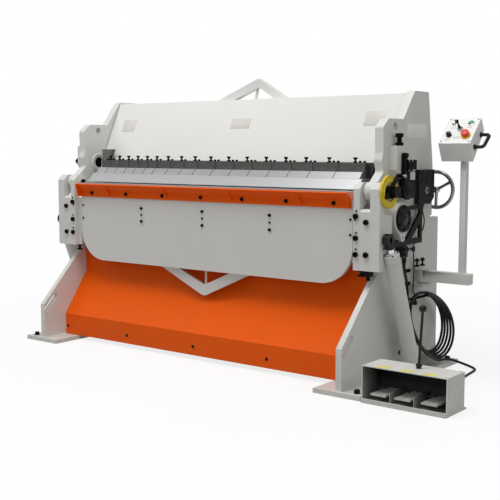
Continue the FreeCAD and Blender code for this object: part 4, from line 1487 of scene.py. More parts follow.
@dataclass
class FingerHardware:
    """T-headed clamping screws and cap screws on the fingers."""

    top: float = 130.0
    screw_y: float = 145.0
    bar_z: float = 153.0
    bar_half: float = 13.0
    bar_radius: float = 4.0
    nut: Two = (17.0, 8.0)
    cap: Two = (7.0, 9.6)
    cap_back: float = 5.0
    cap_steps: Three = (-30.0, 24.0, 50.0)
    two_caps_from: int = 5

    def middles(self) -> Points:
        """The x of each finger's middle: half a width past the running sum of the ones before."""
        width = np.asarray(FINGERS, float) * INCH
        return np.cumsum(width) - width / 2 - width.sum() / 2

    def threads(self) -> Points:
        """The threaded stud of each clamping screw.

        Returns:
            Rows by columns by 3.
        """
        rows = thread(4.9, 0.55, self.top + 7, self.bar_z - 3, 19)
        return lathe(rows, (0, self.screw_y, 0), UP, 14)

    def bars(self) -> Points:
        """The cross bar: a cylinder along x with balled ends.

        Returns:
            Rows by columns by 3.
        """
        r = self.bar_radius
        end = arc((self.bar_half - r, 0), r, 90, 4, 6)
        waist = [(r, r - self.bar_half)]
        rows = [(r, -h) for h, r in end[::-1]] + waist + [(r, h) for h, r in end]
        return lathe(rows, (0, self.screw_y, self.bar_z), RIGHT, 14)

    def bosses(self) -> Points:
        """The boss round the cross bar's middle."""
        rows = [(4.0, 145.4), (8.4, 146.6), (9.0, 148), (9.0, 154.6), (8.0, 156.4), (2.0, 156.9)]
        return lathe(rows, (0, self.screw_y, 0), UP, 16)

    def build(self) -> None:
        """Makes the screws and lets them stand for the node."""
        places = self.middles()[:, None] * np.array([RIGHT])
        shell = Shell().add(self.threads(), places).add(self.bars(), places)
        shell.add(self.bosses(), places)
        nut = hexagon_head(*self.nut, UP) + np.array([0, self.screw_y, self.top])
        shell.add(nut, places)
        wide = np.asarray(FINGERS) >= self.two_caps_from
        chosen = zip((places[:1], places, places[wide]), self.cap_steps)
        heads = np.concatenate([some + (step, 0, 0) for some, step in chosen])
        cap = socket_head(*self.cap, UP) + np.array([0, self.screw_y + self.cap_back, self.top])
        shell.add(cap, heads)
        piece = shell.build("finger_screw_set", Finishes.OXIDE, Body.BEAM)
        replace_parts(piece, "finger_screws")


@dataclass
class ApronHardware:
    """Cap screws on arms and apron, and the bolts of the front angle."""

    arm_front: float = -69.0
    apron_front: float = -44.0
    angle_front: float = -50.0
    pitch: float = 279.0
    angle_z: float = -58.0
    large: tuple[tuple[int, int], ...] = (
        (978, -114), (978, -216), (978, -293), (1034, -140), (1034, -292),
    )
    small: tuple[tuple[int, int], ...] = ((979, -89), (979, -191), (979, -268), (972, -131))
    edges: tuple[float, ...] = (-916, 933)
    columns: tuple[float, ...] = (-439, 10, 457)
    levels: tuple[float, ...] = (-133, -206)
    middle: float = -170.0

    def heads(self) -> dict[str, tuple[Points, list[Point]]]:
        """Template and places of each kind of head.

        Returns:
            A template and its places under the name of each kind.
        """
        large = [(s * x, self.arm_front, z) for s in SIDES for x, z in self.large]
        small = [(s * x, self.arm_front, z) for s in SIDES for x, z in self.small]
        edge = [(x, self.apron_front, z) for x in self.edges for z in self.levels]
        rows = [(x, self.apron_front, z) for x in self.columns for z in self.levels]
        middle = [(x, self.apron_front, self.middle) for x in self.columns]
        angle = [(4 + i * self.pitch, self.angle_front, self.angle_z) for i in range(-3, 4)]
        return {
            "arm_cap_screws": (socket_head(13, 11, FRONT), large),
            "arm_set_screws": (button_head(5, 4.5, FRONT), small),
            "apron_edge_screws": (socket_head(6, 5, FRONT), edge),
            "apron_cap_screws": (socket_head(8, 8, FRONT), rows),
            "apron_middle_screws": (socket_head(5.5, 6, FRONT), middle),
            "angle_bolts": (hexagon_head(17, 8, FRONT), angle),
        }

    def washer(self) -> Points:
        """A thin washer for the angle's bolts."""
        rows = [(9.0, 0), (10.8, 0), (11.0, 0.5), (10.8, 1.1), (9.0, 1.2)]
        return lathe(rows, ORIGIN, FRONT, 24)

    def build(self) -> None:
        """Makes every head as one piece that stands for the node."""
        shell = Shell()
        kinds = self.heads()
        for template, places in kinds.values():
            shell.add(template, places)
        shell.add(self.washer(), kinds["angle_bolts"][1])
        piece = shell.build("apron_bolt_set", Finishes.OXIDE, Body.APRON)
        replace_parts(piece, "apron_bolts")


@dataclass
class Adjusters:
    """Nuts, locknuts and screws under the arms."""

    x: float = 981.0
    y: float = -19.0
    low: float = -368.0
    block_x: float = 1032.0
    block_y: float = -44.0
    drops: Two = (0.1, 24.2)
    stud: Two = (27.0, 46.6)

    def build(self) -> None:
        """Adds hexagon nuts over the plain discs and threads under the right block."""
        nut = hexagon_head(29, 9.6, (0, 0, -1))
        places = [(s * self.x, self.y, self.low - drop) for s in SIDES for drop in self.drops]
        shell = Shell().add(nut, places)
        rows = thread(9.6, 0.9, self.low - self.stud[0], self.low - self.stud[1], 17)
        shell.add(lathe(rows, (self.block_x, self.block_y, 0), UP, 20))
        shell.build("adjuster_nuts", Finishes.OXIDE, Body.APRON)


@dataclass
class BlankPlates:
    """Bare plates where the machine carries its labels, each held by four drive pins."""

    low: Two = (195.7, 131.5)
    top: Two = (348.0, 470.0)
    thick: float = 1.1
    slope: tuple[Four, ...] = (
        (-909, -807, 299, 371), (-60, 72, 309, 364), (800, 912, 313, 386),
    )
    side: Four = (276, 484, 250, 319)
    side_x: Two = (1047.0, 1048.2)
    margin: float = 5.0

    def on_slope(self, x: Points, z: Points, lift: Points) -> Points:
        """Points on the beam cover: y follows z along the slope, the lift goes square to it.

        Args:
            x: their x.
            z: their height.
            lift: how far they stand off the cover.

        Returns:
            One point for each.
        """
        run = (self.top[0] - self.low[0]) / (self.top[1] - self.low[1])
        normal = unit(np.array([0, -1.0, run]))
        y = self.low[0] + (z - self.low[1]) * run
        return np.stack([x, y, z], -1) + lift[..., None] * normal

    def build(self) -> None:
        """Makes the plates on the cover and on the right side plate."""
        shell, pins = Shell(), Shell()
        for x0, x1, z0, z1 in self.slope:
            flat = plate([(x0, z0), (x1, z0), (x1, z1), (x0, z1)], "y", 0.0, self.thick, 0.5)
            shell.add(self.on_slope(flat[..., 0], flat[..., 2], flat[..., 1]))
            m = self.margin
            x, z = np.array([(x, z) for x in (x0 + m, x1 - m) for z in (z0 + m, z1 - m)]).T
            head = button_head(2.2, 1.2, (0, -1, 0.45))
            pins.add(head, self.on_slope(x, z, np.full(4, self.thick)))
        shell.build("cover_blank_plates", Finishes.PALE_PLATE, Body.BEAM)
        pins.build("cover_plate_pins", Finishes.BRIGHT, Body.BEAM)
        y0, y1, z0, z1 = self.side
        side = plate([(y0, z0), (y1, z0), (y1, z1), (y0, z1)], "x", *self.side_x, 0.5)
        Shell().add(side).build("side_blank_plate", Finishes.WHITE_PLATE)
        m = self.margin + 1
        places = [(self.side_x[1], y, z) for y in (y0 + m, y1 - m) for z in (z0 + m, z1 - m)]
        pins = Shell().add(button_head(2.4, 1.3, RIGHT), places)
        pins.build("side_plate_pins", Finishes.BRIGHT)


@dataclass
class CoverScrews:
    """Screws and washers along the foot of the orange sheet and beside its joints."""

    y: float = -117.0
    z: float = -849.0
    places: tuple[float, ...] = (-986.0, -494.0, 1.0, 493.0, 986.0)
    high_y: float = 53.0
    high_z: float = -330.0
    high: tuple[float, ...] = (-940.0, -470.0, 0.0, 470.0, 940.0)

    def build(self) -> None:
        """Makes domed heads on washers."""
        spots = [(x, self.y, self.z) for x in self.places]
        spots += [(x, self.high_y, self.high_z) for x in self.high]
        washer = lathe([(5, 0), (8.6, 0), (9, 0.6), (8.6, 1.2), (5, 1.3)], ORIGIN, FRONT, 24)
        shell = Shell().add(button_head(6.5, 4.2, FRONT), spots).add(washer, spots)
        shell.build("cover_screws", Finishes.OXIDE)


@dataclass
class Welds:
    """Rippled beads where plates of the frame, the beam and the apron's arms meet."""

    radius: float = 3.2

    def frame(self) -> Shell:
        """Beads round legs, cross members and ram brackets.

        Returns:
            The shell that holds them.
        """
        shell = Shell()
        for s in SIDES:
            for x in (1008.0, 1038.0):
                shell.add(bead((s * x, -276, -897.4), (s * x, 634, -897.4), self.radius, UP))
            shell.add(bead((s * 1038, 64, -139), (s * 1038, 546, -139), self.radius, UP))
            for y in (-80.0, -10.0, 520.0, 600.0):
                shell.add(bead((s * 1007, y, -896), (s * 1007, y, -820), 2.6, REAR))
            for x in (1095.0, 1148.0):
                shell.add(bead((s * x, 192, -897.6), (s * x, 270, -897.6), 2.6, UP))
            shell.add(bead((s * 1001, 60, -330), (s * 1001, 328, -330), self.radius, UP))
        return shell

    def build(self) -> None:
        """Makes the beads of frame, beam and apron."""
        self.frame().build("frame_welds", Finishes.CREAM)
        apron = Shell()
        for s in SIDES:
            apron.add(bead((s * 1080, -34, -104), (s * 1080, -34, -252), 2.6, REAR))
            apron.add(bead((s * 963, -34, -92), (s * 963, -34, -366), 2.4, REAR))
            foot = 422 * s
            apron.add(bead((foot * 0.98, -21.6, -402), (12 * s, -21.6, -582), 2.2, REAR))
        apron.build("apron_welds", Finishes.CREAM, Body.APRON)
        beam = Shell()
        for y in (395.0, 431.0):
            beam.add(bead((-250, y, 470.4), (-136, y, 470.4), 2.0, UP))
            beam.add(bead((162, y, 470.4), (238, y, 470.4), 2.0, UP))
        beam.build("beam_welds", Finishes.CREAM, Body.BEAM)


@dataclass
class JackScrews:
    """Knurled jack screws on the guides and the left clamping knob."""

    x: float = 1075.0
    y: float = 155.0
    teeth: int = 26

    def knurled(self, rows: Sequence[Point], centre: Point, axis: Point, depth: float) -> Points:
        """A lathe form whose wide rows ripple with the angle, like straight knurling.

        Args:
            rows: radius and height of each row.
            centre: where the axis starts.
            axis: its direction.
            depth: depth of the knurling.

        Returns:
            Rows by columns by 3.
        """
        body = lathe(rows, ORIGIN, axis, self.teeth * 4)
        size = np.linalg.norm(parted(body, axis)[1], axis=-1, keepdims=True)
        wide = size > 0.93 * size.max()
        return fluted(body, axis, self.teeth, depth, wide) + np.asarray(centre, float)

    def build(self) -> None:
        """Makes both screws, the knob and the inner disc, and replaces the node."""
        shell = Shell()
        disc = [(3, 213), (17, 213), (19, 214.4), (19, 227.6), (17, 229), (12.2, 229)]
        stud = thread(12.0, 0.9, 229, 253, 21)
        head = [(12.2, 253), (17, 253), (19, 254.6), (19, 270.4), (17.4, 272), (7, 272), (6, 269), (1, 269)]
        for s in SIDES:
            shell.add(self.knurled(disc + stud + head, (s * self.x, self.y, 0), UP, 0.9))
        knob = [(6, 0), (22, 0), (24, 2), (24, 38), (22, 40), (12, 40.4), (12, 58), (10.4, 60), (2, 60)]
        shell.add(self.knurled(knob, (-1125, 150, 121), (-1, 0, 0), 1.2))
        inner = [(2, 0), (28.6, 0), (30, 0.8), (30, 2.2), (28.6, 3), (12, 3), (11, 2), (2, 2)]
        shell.add(lathe(inner, (-1002, 164, 115), RIGHT, 40))
        boss = [(30.4, 0), (54, 0), (54, 2.4), (51.4, 5.2), (35, 5.2), (31.4, 3.2), (30.4, 3.2)]
        Shell().add(lathe(boss, (-1002, 164, 116), RIGHT, 56), capped=False).build(
            "left_knob_boss", Finishes.CREAM)
        piece = shell.build("jack_screw_set", Finishes.OXIDE)
        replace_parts(piece, "jack_screws")


@dataclass
class LevellingScrews:
    """Hexagon screws and washers on the foot plates."""

    x: float = 1108.0
    rows: Two = (-252.0, 640.0)
    top: float = -898.0

    def build(self) -> None:
        """Makes the four screws and replaces the node."""
        places = [(s * self.x, y, self.top) for s in SIDES for y in self.rows]
        washer = lathe([(8, 0), (15.4, 0), (16, 0.8), (15.4, 2.4), (9, 2.5)], ORIGIN, UP, 36)
        head = hexagon_head(24, 15.4, UP) + np.array([0, 0, 2.5])
        shank = lathe([(1, -21.7), (6.6, -21.7), (7.8, -20), (7.8, 0)], ORIGIN, UP, 24)
        shell = Shell().add(washer, places).add(head, places).add(shank, places)
        piece = shell.build("levelling_screw_set", Finishes.OXIDE)
        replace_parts(piece, "levelling_screws")


# Drive, rams and switches


@dataclass
class Handwheel:
    """The handwheel: a round rim, tapered spokes and a turned hub on its shaft."""

    centre: Three = (1065.0, 564.0, -9.5)
    radius: float = 90.5
    rim: float = 9.5
    spokes: tuple[float, ...] = (28.0, 148.0, 268.0)

    def ring(self) -> Points:
        """The rim: a circle of the rim's radius carried round the axis; its last row is its first.

        Returns:
            Rows by columns by 3, about the wheel's centre.
        """
        big = np.append(turns(96), 0.0)[:, None]
        small = turns(20)[None]
        reach = self.radius + self.rim * np.cos(small)
        depth = np.broadcast_to(self.rim * np.sin(small), np.broadcast(big, small).shape)
        return np.stack([reach * np.cos(big), depth, reach * np.sin(big)], -1)

    def spoke(self) -> Points:
        """Spokes that swell towards hub and rim.

        Returns:
            Spokes by rows by columns by 3, about the wheel's centre.
        """
        out = np.linspace(12, self.radius - 3, 15)
        size = 7.6 + 1.8 * np.abs(np.linspace(-1, 1, 15)) ** 3
        angle = np.radians(self.spokes)[:, None]
        path = np.stack([np.cos(angle) * out, 0 * angle * out, np.sin(angle) * out], -1)
        return np.stack([tube(p, size, REAR, 14) for p in path])

    def build(self) -> None:
        """Makes the wheel and replaces the node."""
        x, y, z = self.centre
        shell = Shell().add(self.ring() + np.array(self.centre), capped=False)
        shell.add(self.spoke() + np.array(self.centre))
        hub = [
            (6.2, -26), (13.6, -26), (15, -24.6), (15, -9), (16, -7),
            (16, 7), (15, 9), (15, 10.6), (13.6, 12), (4, 12),
        ]
        shell.add(lathe(hub, self.centre, REAR, 40))
        shaft = [(1, 482 - y), (5.4, 482 - y), (6, 483 - y), (6, 13), (5.2, 14), (1, 14)]
        shell.add(lathe(shaft, self.centre, REAR, 24))
        piece = shell.build("handwheel_turned", Finishes.STEEL, Body.WHEEL, slot=Slot.CHROME)
        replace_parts(piece, "handwheel")
        screw = Shell().add(socket_head(3, 2.4, UP), [(x, y - 18, z + 14.8)])
        screw.build("handwheel_set_screw", Finishes.OXIDE, Body.WHEEL)


@dataclass
class Gearbox:
    """Screws and bearing boss of the gearbox."""

    face_x: float = 1077.0
    boss: Two = (442.0, -8.0)

    def build(self) -> None:
        """Makes the dress of the housing."""
        deep = [(self.face_x - 7.4, y, z) for y in (383, 434, 492) for z in (47, 78)]
        shell = Shell().add(socket_head(5.0, 5.2, RIGHT), deep)
        edge = [(self.face_x, y, z) for y in (362, 505) for z in (-36, 28, 88)]
        shell.add(socket_head(4.0, 3.0, RIGHT), edge)
        shell.build("gearbox_screws", Finishes.OXIDE)
        y, z = self.boss
        rows = [
            (8.3, -2.9), (18, -2.9), (18.6, -2), (18.6, -0.4),
            (17.6, 0.6), (10.6, 0.6), (9.6, 2.2), (8.4, 2.2),
        ]
        ring = Shell().add(lathe(rows, (self.face_x, y, z), RIGHT, 40), capped=False)
        ring.build("gearbox_boss_ring", Finishes.STEEL)


@dataclass
class BearingDress:
    """Bolts, cap and turned rings of the bearing housing's black cover and the switch drum."""

    centre: Two = (168.0, -133.0)
    face_x: float = 1104.0
    drum: Two = (182.0, 0.0)
    drum_x: float = 1112.0
    circle: float = 52.0
    sunk: float = 0.2

    def build(self) -> None:
        """Makes the bolt circle and caps."""
        y, z = self.centre
        angle = turns(6) + math.pi / 6
        face = self.face_x - self.sunk
        places = [np.full(6, face), y + self.circle * np.cos(angle), z + self.circle * np.sin(angle)]
        shell = Shell().add(socket_head(5.5, 4.5, RIGHT), np.stack(places, -1))
        shell.build("bearing_cover_screws", Finishes.OXIDE)
        cap = [(1, 0), (30, 0), (31, 1), (29, 2.4), (24, 3.2), (22, 4.8), (12, 6.6), (0.6, 7.2)]
        Shell().add(lathe(cap, (face, y, z), RIGHT, 48)).build("bearing_cap", Finishes.PLASTIC)
        y, z = self.drum
        rows = [
            (15, 9.8), (16.6, 10), (17, 8), (24, 7.6), (25, 0.6),
            (38, 0.6), (39, 2), (41, 2), (42, 0.2), (42, -0.6),
        ]
        Shell().add(lathe(rows, (self.drum_x, y, z), RIGHT, 56), capped=False).build(
            "switch_drum_rings", Finishes.PLASTIC)


@dataclass
class SwitchDress:
    """Roller, screws and blank plate of the limit switches, and the stop lever's small parts."""

    def build(self) -> None:
        """Makes the parts on the switch block."""
        pale = plate([(218, 50), (266, 50), (266, 89), (218, 89)], "x", 1100.0, 1101.6, 0.6)
        Shell().add(pale).build("switch_blank_plate", Finishes.PALE_PLATE)
        spots = [(1101.6, y, z) for y in (222, 262) for z in (54, 85)]
        shell = Shell().add(button_head(1.8, 1.0, RIGHT), spots)
        cover = [(1120, y, z) for y in (173, 207) for z in (97, 141)]
        shell.add(button_head(3.2, 2.0, RIGHT), cover)
        shell.build("switch_screws", Finishes.BRIGHT)
        roller = [(2, 0), (9, 0), (10, 1), (10, 7), (9, 8), (4, 8), (3.4, 9), (1, 9)]
        wheel = Shell().add(lathe(roller, (1114, 156, 168), RIGHT, 32))
        wheel.build("switch_roller", Finishes.OXIDE)
        grip = [(5.9, 0), (6.8, 0), (7.2, 0.6), (7.2, 12.2), (6.4, 13), (1, 13)]
        Shell().add(lathe(grip, (1145.2, 75, 72), RIGHT, 28)).build(
            "stop_lever_pin_sleeve", Finishes.BRIGHT, Body.LEVER)
        stud = hexagon_head(24, 9, RIGHT) + np.array([1130.0, 0, 0])
        Shell().add(stud).build("stop_lever_nut", Finishes.OXIDE, Body.LEVER)


@dataclass
class Rams:
    """Gland ring, cap screws, hose unions, locknut and pin clips of the bending cylinders."""

    x: float = 1125.0
    eye: Two = (-23.0, -221.0)
    foot: Two = (231.0, -860.0)
    gland: float = 74.0
    bands: Two = (118.0, 101.0)
    circle: float = 31.0
    union: Two = (72.0, 51.6)
    port: Two = (96.0, 37.0)
    locknut: float = 45.0
    eye_screw: float = 29.6
    clip: float = 23.4

    def side(self, sign: int, barrel: Body, rod: Body) -> None:
        """Dresses one cylinder.

        Args:
            sign: minus one for the left, one for the right.
            barrel: the body of its barrel.
            rod: the body of its rod.
        """
        word = "right" if sign > 0 else "left"
        low = np.array([sign * self.x, *self.foot])
        high = np.array([sign * self.x, *self.eye])
        length = float(np.linalg.norm(high - low))
        along = (high - low) / length
        ring = [(17.3, -1), (24, -1), (25.5, 0.6), (25.5, 5), (23, 7.4), (18.4, 8.6), (17.3, 8.6)]
        top = low + along * (length - self.gland)
        shell = Shell().add(lathe(ring, top, along, 40), capped=False)
        bands = [(37.2, 0), (39, 0.8), (39, 4.2), (37.2, 5)]
        for place in (length - self.bands[0], self.bands[1]):
            shell.add(lathe(bands, low + along * place, along, 48), capped=False)
        shell.build("ram_rings_" + word, Finishes.CREAM, barrel)
        across = basis(along)[:2]
        angle = turns(4) + math.pi / 4
        circle = self.circle * np.stack([np.cos(angle), np.sin(angle)], -1) @ across
        screws = Shell().add(socket_head(3.6, 3.6, along), top + circle)
        union = low + along * self.union[0] - np.array([sign * self.union[1], 0, 0])
        screws.add(hexagon_head(20, 9, (-sign, 0, 0)), [union])
        port = low + along * (length - self.port[0]) + np.array([0, self.port[1], 0])
        screws.add(hexagon_head(18, 10, REAR), [port])
        screws.build("ram_fittings_" + word, Finishes.OXIDE, barrel)
        shell = Shell().add(hexagon_head(31.8, 17, along), [low + along * (length - self.locknut)])
        shell.add(button_head(3.4, 4.4, along), [high + along * self.eye_screw])
        shell.build("ram_locknut_" + word, Finishes.OXIDE, rod)
        clip = [(11.9, 0), (16.4, 0), (16.8, 0.5), (16.4, 2), (11.9, 2)]
        spot = np.array([sign * (self.x + self.clip), *self.foot])
        Shell().add(lathe(clip, spot, (sign, 0, 0), 28), capped=False).build(
            "ram_pin_clip_" + word, Finishes.BRIGHT)

    def build(self) -> None:
        """Dresses both cylinders."""
        self.side(-1, Body.BARREL_LEFT, Body.ROD_LEFT)
        self.side(1, Body.BARREL_RIGHT, Body.ROD_RIGHT)


@dataclass
class FrameFittings:
    """Nuts on the pendant bracket, the leg's hose fitting and the gear of the clamp cylinders."""

    stud_x: float = 1062.0
    stud_y: Two = (375.0, 432.0)
    nuts: Two = (-361.0, -387.0)
    plate_x: float = 1048.0
    clamp: Three = (940.0, 395.0, -60.0)
    circle: float = 38.0
    port: Two = (333.2, -360.0)

    def build(self) -> None:
        """Makes nuts, studs and fittings."""
        studs, high, low = ([(self.stud_x, y, z) for y in self.stud_y] for z in (0.0, *self.nuts))
        shell = Shell().add(hexagon_head(20.6, 11, UP), high).add(hexagon_head(22, 8, UP), low)
        shell.add(lathe(thread(5.3, 0.5, -379, -345.4, 29), ORIGIN, UP, 14), studs)
        heads = [(self.plate_x, y, z) for y in (286, 314) for z in (-401, -466)]
        shell.add(hexagon_head(17.6, 8.4, RIGHT), heads)
        shell.build("bracket_nuts", Finishes.OXIDE)
        leg = [(3, 0), (11, 0), (12, 1), (12, 4), (8, 5), (8, 12), (6.6, 14), (3, 14)]
        Shell().add(lathe(leg, (1038, 307, -491), RIGHT, 32)).build("leg_hose_fitting", Finishes.PLASTIC)
        shell = Shell()
        x, y, z = self.clamp
        angle = turns(4) + math.pi / 4
        circle = self.circle * np.stack([np.cos(angle), np.sin(angle), 0 * angle], -1)
        gland = [(20.4, 0), (30, 0), (31.4, 1), (31.4, 7), (28, 9), (20.4, 9)]
        for s in SIDES:
            shell.add(lathe(gland, (s * x, y, z), UP, 40), capped=False)
            shell.add(hexagon_head(22, 9, FRONT), [(s * x, *self.port)])
            shell.add(socket_head(4.2, 4.2, UP), circle + (s * x, y, z - 0.2))
        shell.build("clamp_cylinder_fittings", Finishes.OXIDE)
        plug = [(3, 0), (9.6, 0), (9.6, 5), (7, 6), (7, 11), (3, 11)]
        shell = Shell()
        for y, z in ((212, -288), (236, -288), (212, -311)):
            shell.add(lathe(plug, (1080, y, z), RIGHT, 24))
        shell.build("junction_block_plugs", Finishes.PLASTIC)


@dataclass
class PowerUnit:
    """Motor fins, fan cowl, filler, gauge and valve coils of the oil unit."""

    motor: Three = (-230.0, 350.0, -465.0)
    length: float = 320.0
    radius: float = 85.0
    fin_pitch: float = 18.0
    fin_height: float = 3.2

    def build(self) -> None:
        """Makes the dress of motor, tank and valves."""
        share = np.linspace(20, self.length - 30, 91)
        across = np.abs(np.mod(share, self.fin_pitch) - self.fin_pitch / 2)
        wave = self.radius + 1.2 + self.fin_height * (across > self.fin_pitch / 3)
        rows = np.stack([wave, share], -1)
        shell = Shell().add(lathe(rows, self.motor, RIGHT, 56))
        cowl = [(1, -24), (52, -24), (76, -20), (84, -10), (88, 2), (88, 16), (86, 18)]
        shell.add(lathe(cowl, self.motor, RIGHT, 56))
        x, y, z = self.motor
        shell.add(block((x + 90, y - 45, z + 78), (x + 190, y + 45, z + 118), 3))
        shell.build("motor_fins", Finishes.GREY)
        bolts = [(x + 100 + 80 * i, y - 35 + 70 * j, z + 118) for i in (0, 1) for j in (0, 1)]
        lid = Shell().add(button_head(4, 3, UP), bolts)
        coil = [(6, 0), (17, 0), (18, 1), (18, 38), (17, 39), (11, 40), (11, 46), (6, 47)]
        for px in (215.0, 265.0):
            for py, way in ((400.0, REAR), (300.0, FRONT)):
                lid.add(lathe(coil, (px, py, -495), way, 32))
        cap = [(6, 0), (31, 0), (33, 1.5), (33, 12), (30, 15), (12, 16), (10, 20), (2, 20)]
        lid.add(lathe(cap, (-260, 230, -521), UP, 40))
        lid.build("power_unit_black_parts", Finishes.PLASTIC)
        gauge = [(2, 0), (26, 0), (28, 1), (28, 12), (26, 13), (24.6, 11.6), (2, 11.6)]
        Shell().add(lathe(gauge, (240, 350, -430), UP, 40)).build("pressure_gauge", Finishes.BRIGHT)
        Shell().add(block((-60, 519.6, -740), (-30, 526, -620), 2.4)).build(
            "oil_sight_glass", Finishes.CLEAR)
        weld = Shell()
        for px in (-300.0, 300.0):
            weld.add(bead((px, 520, -808), (px, 520, -562), 2.6, REAR))
        weld.build("tank_welds", Finishes.GREY)


# Console and foot switch


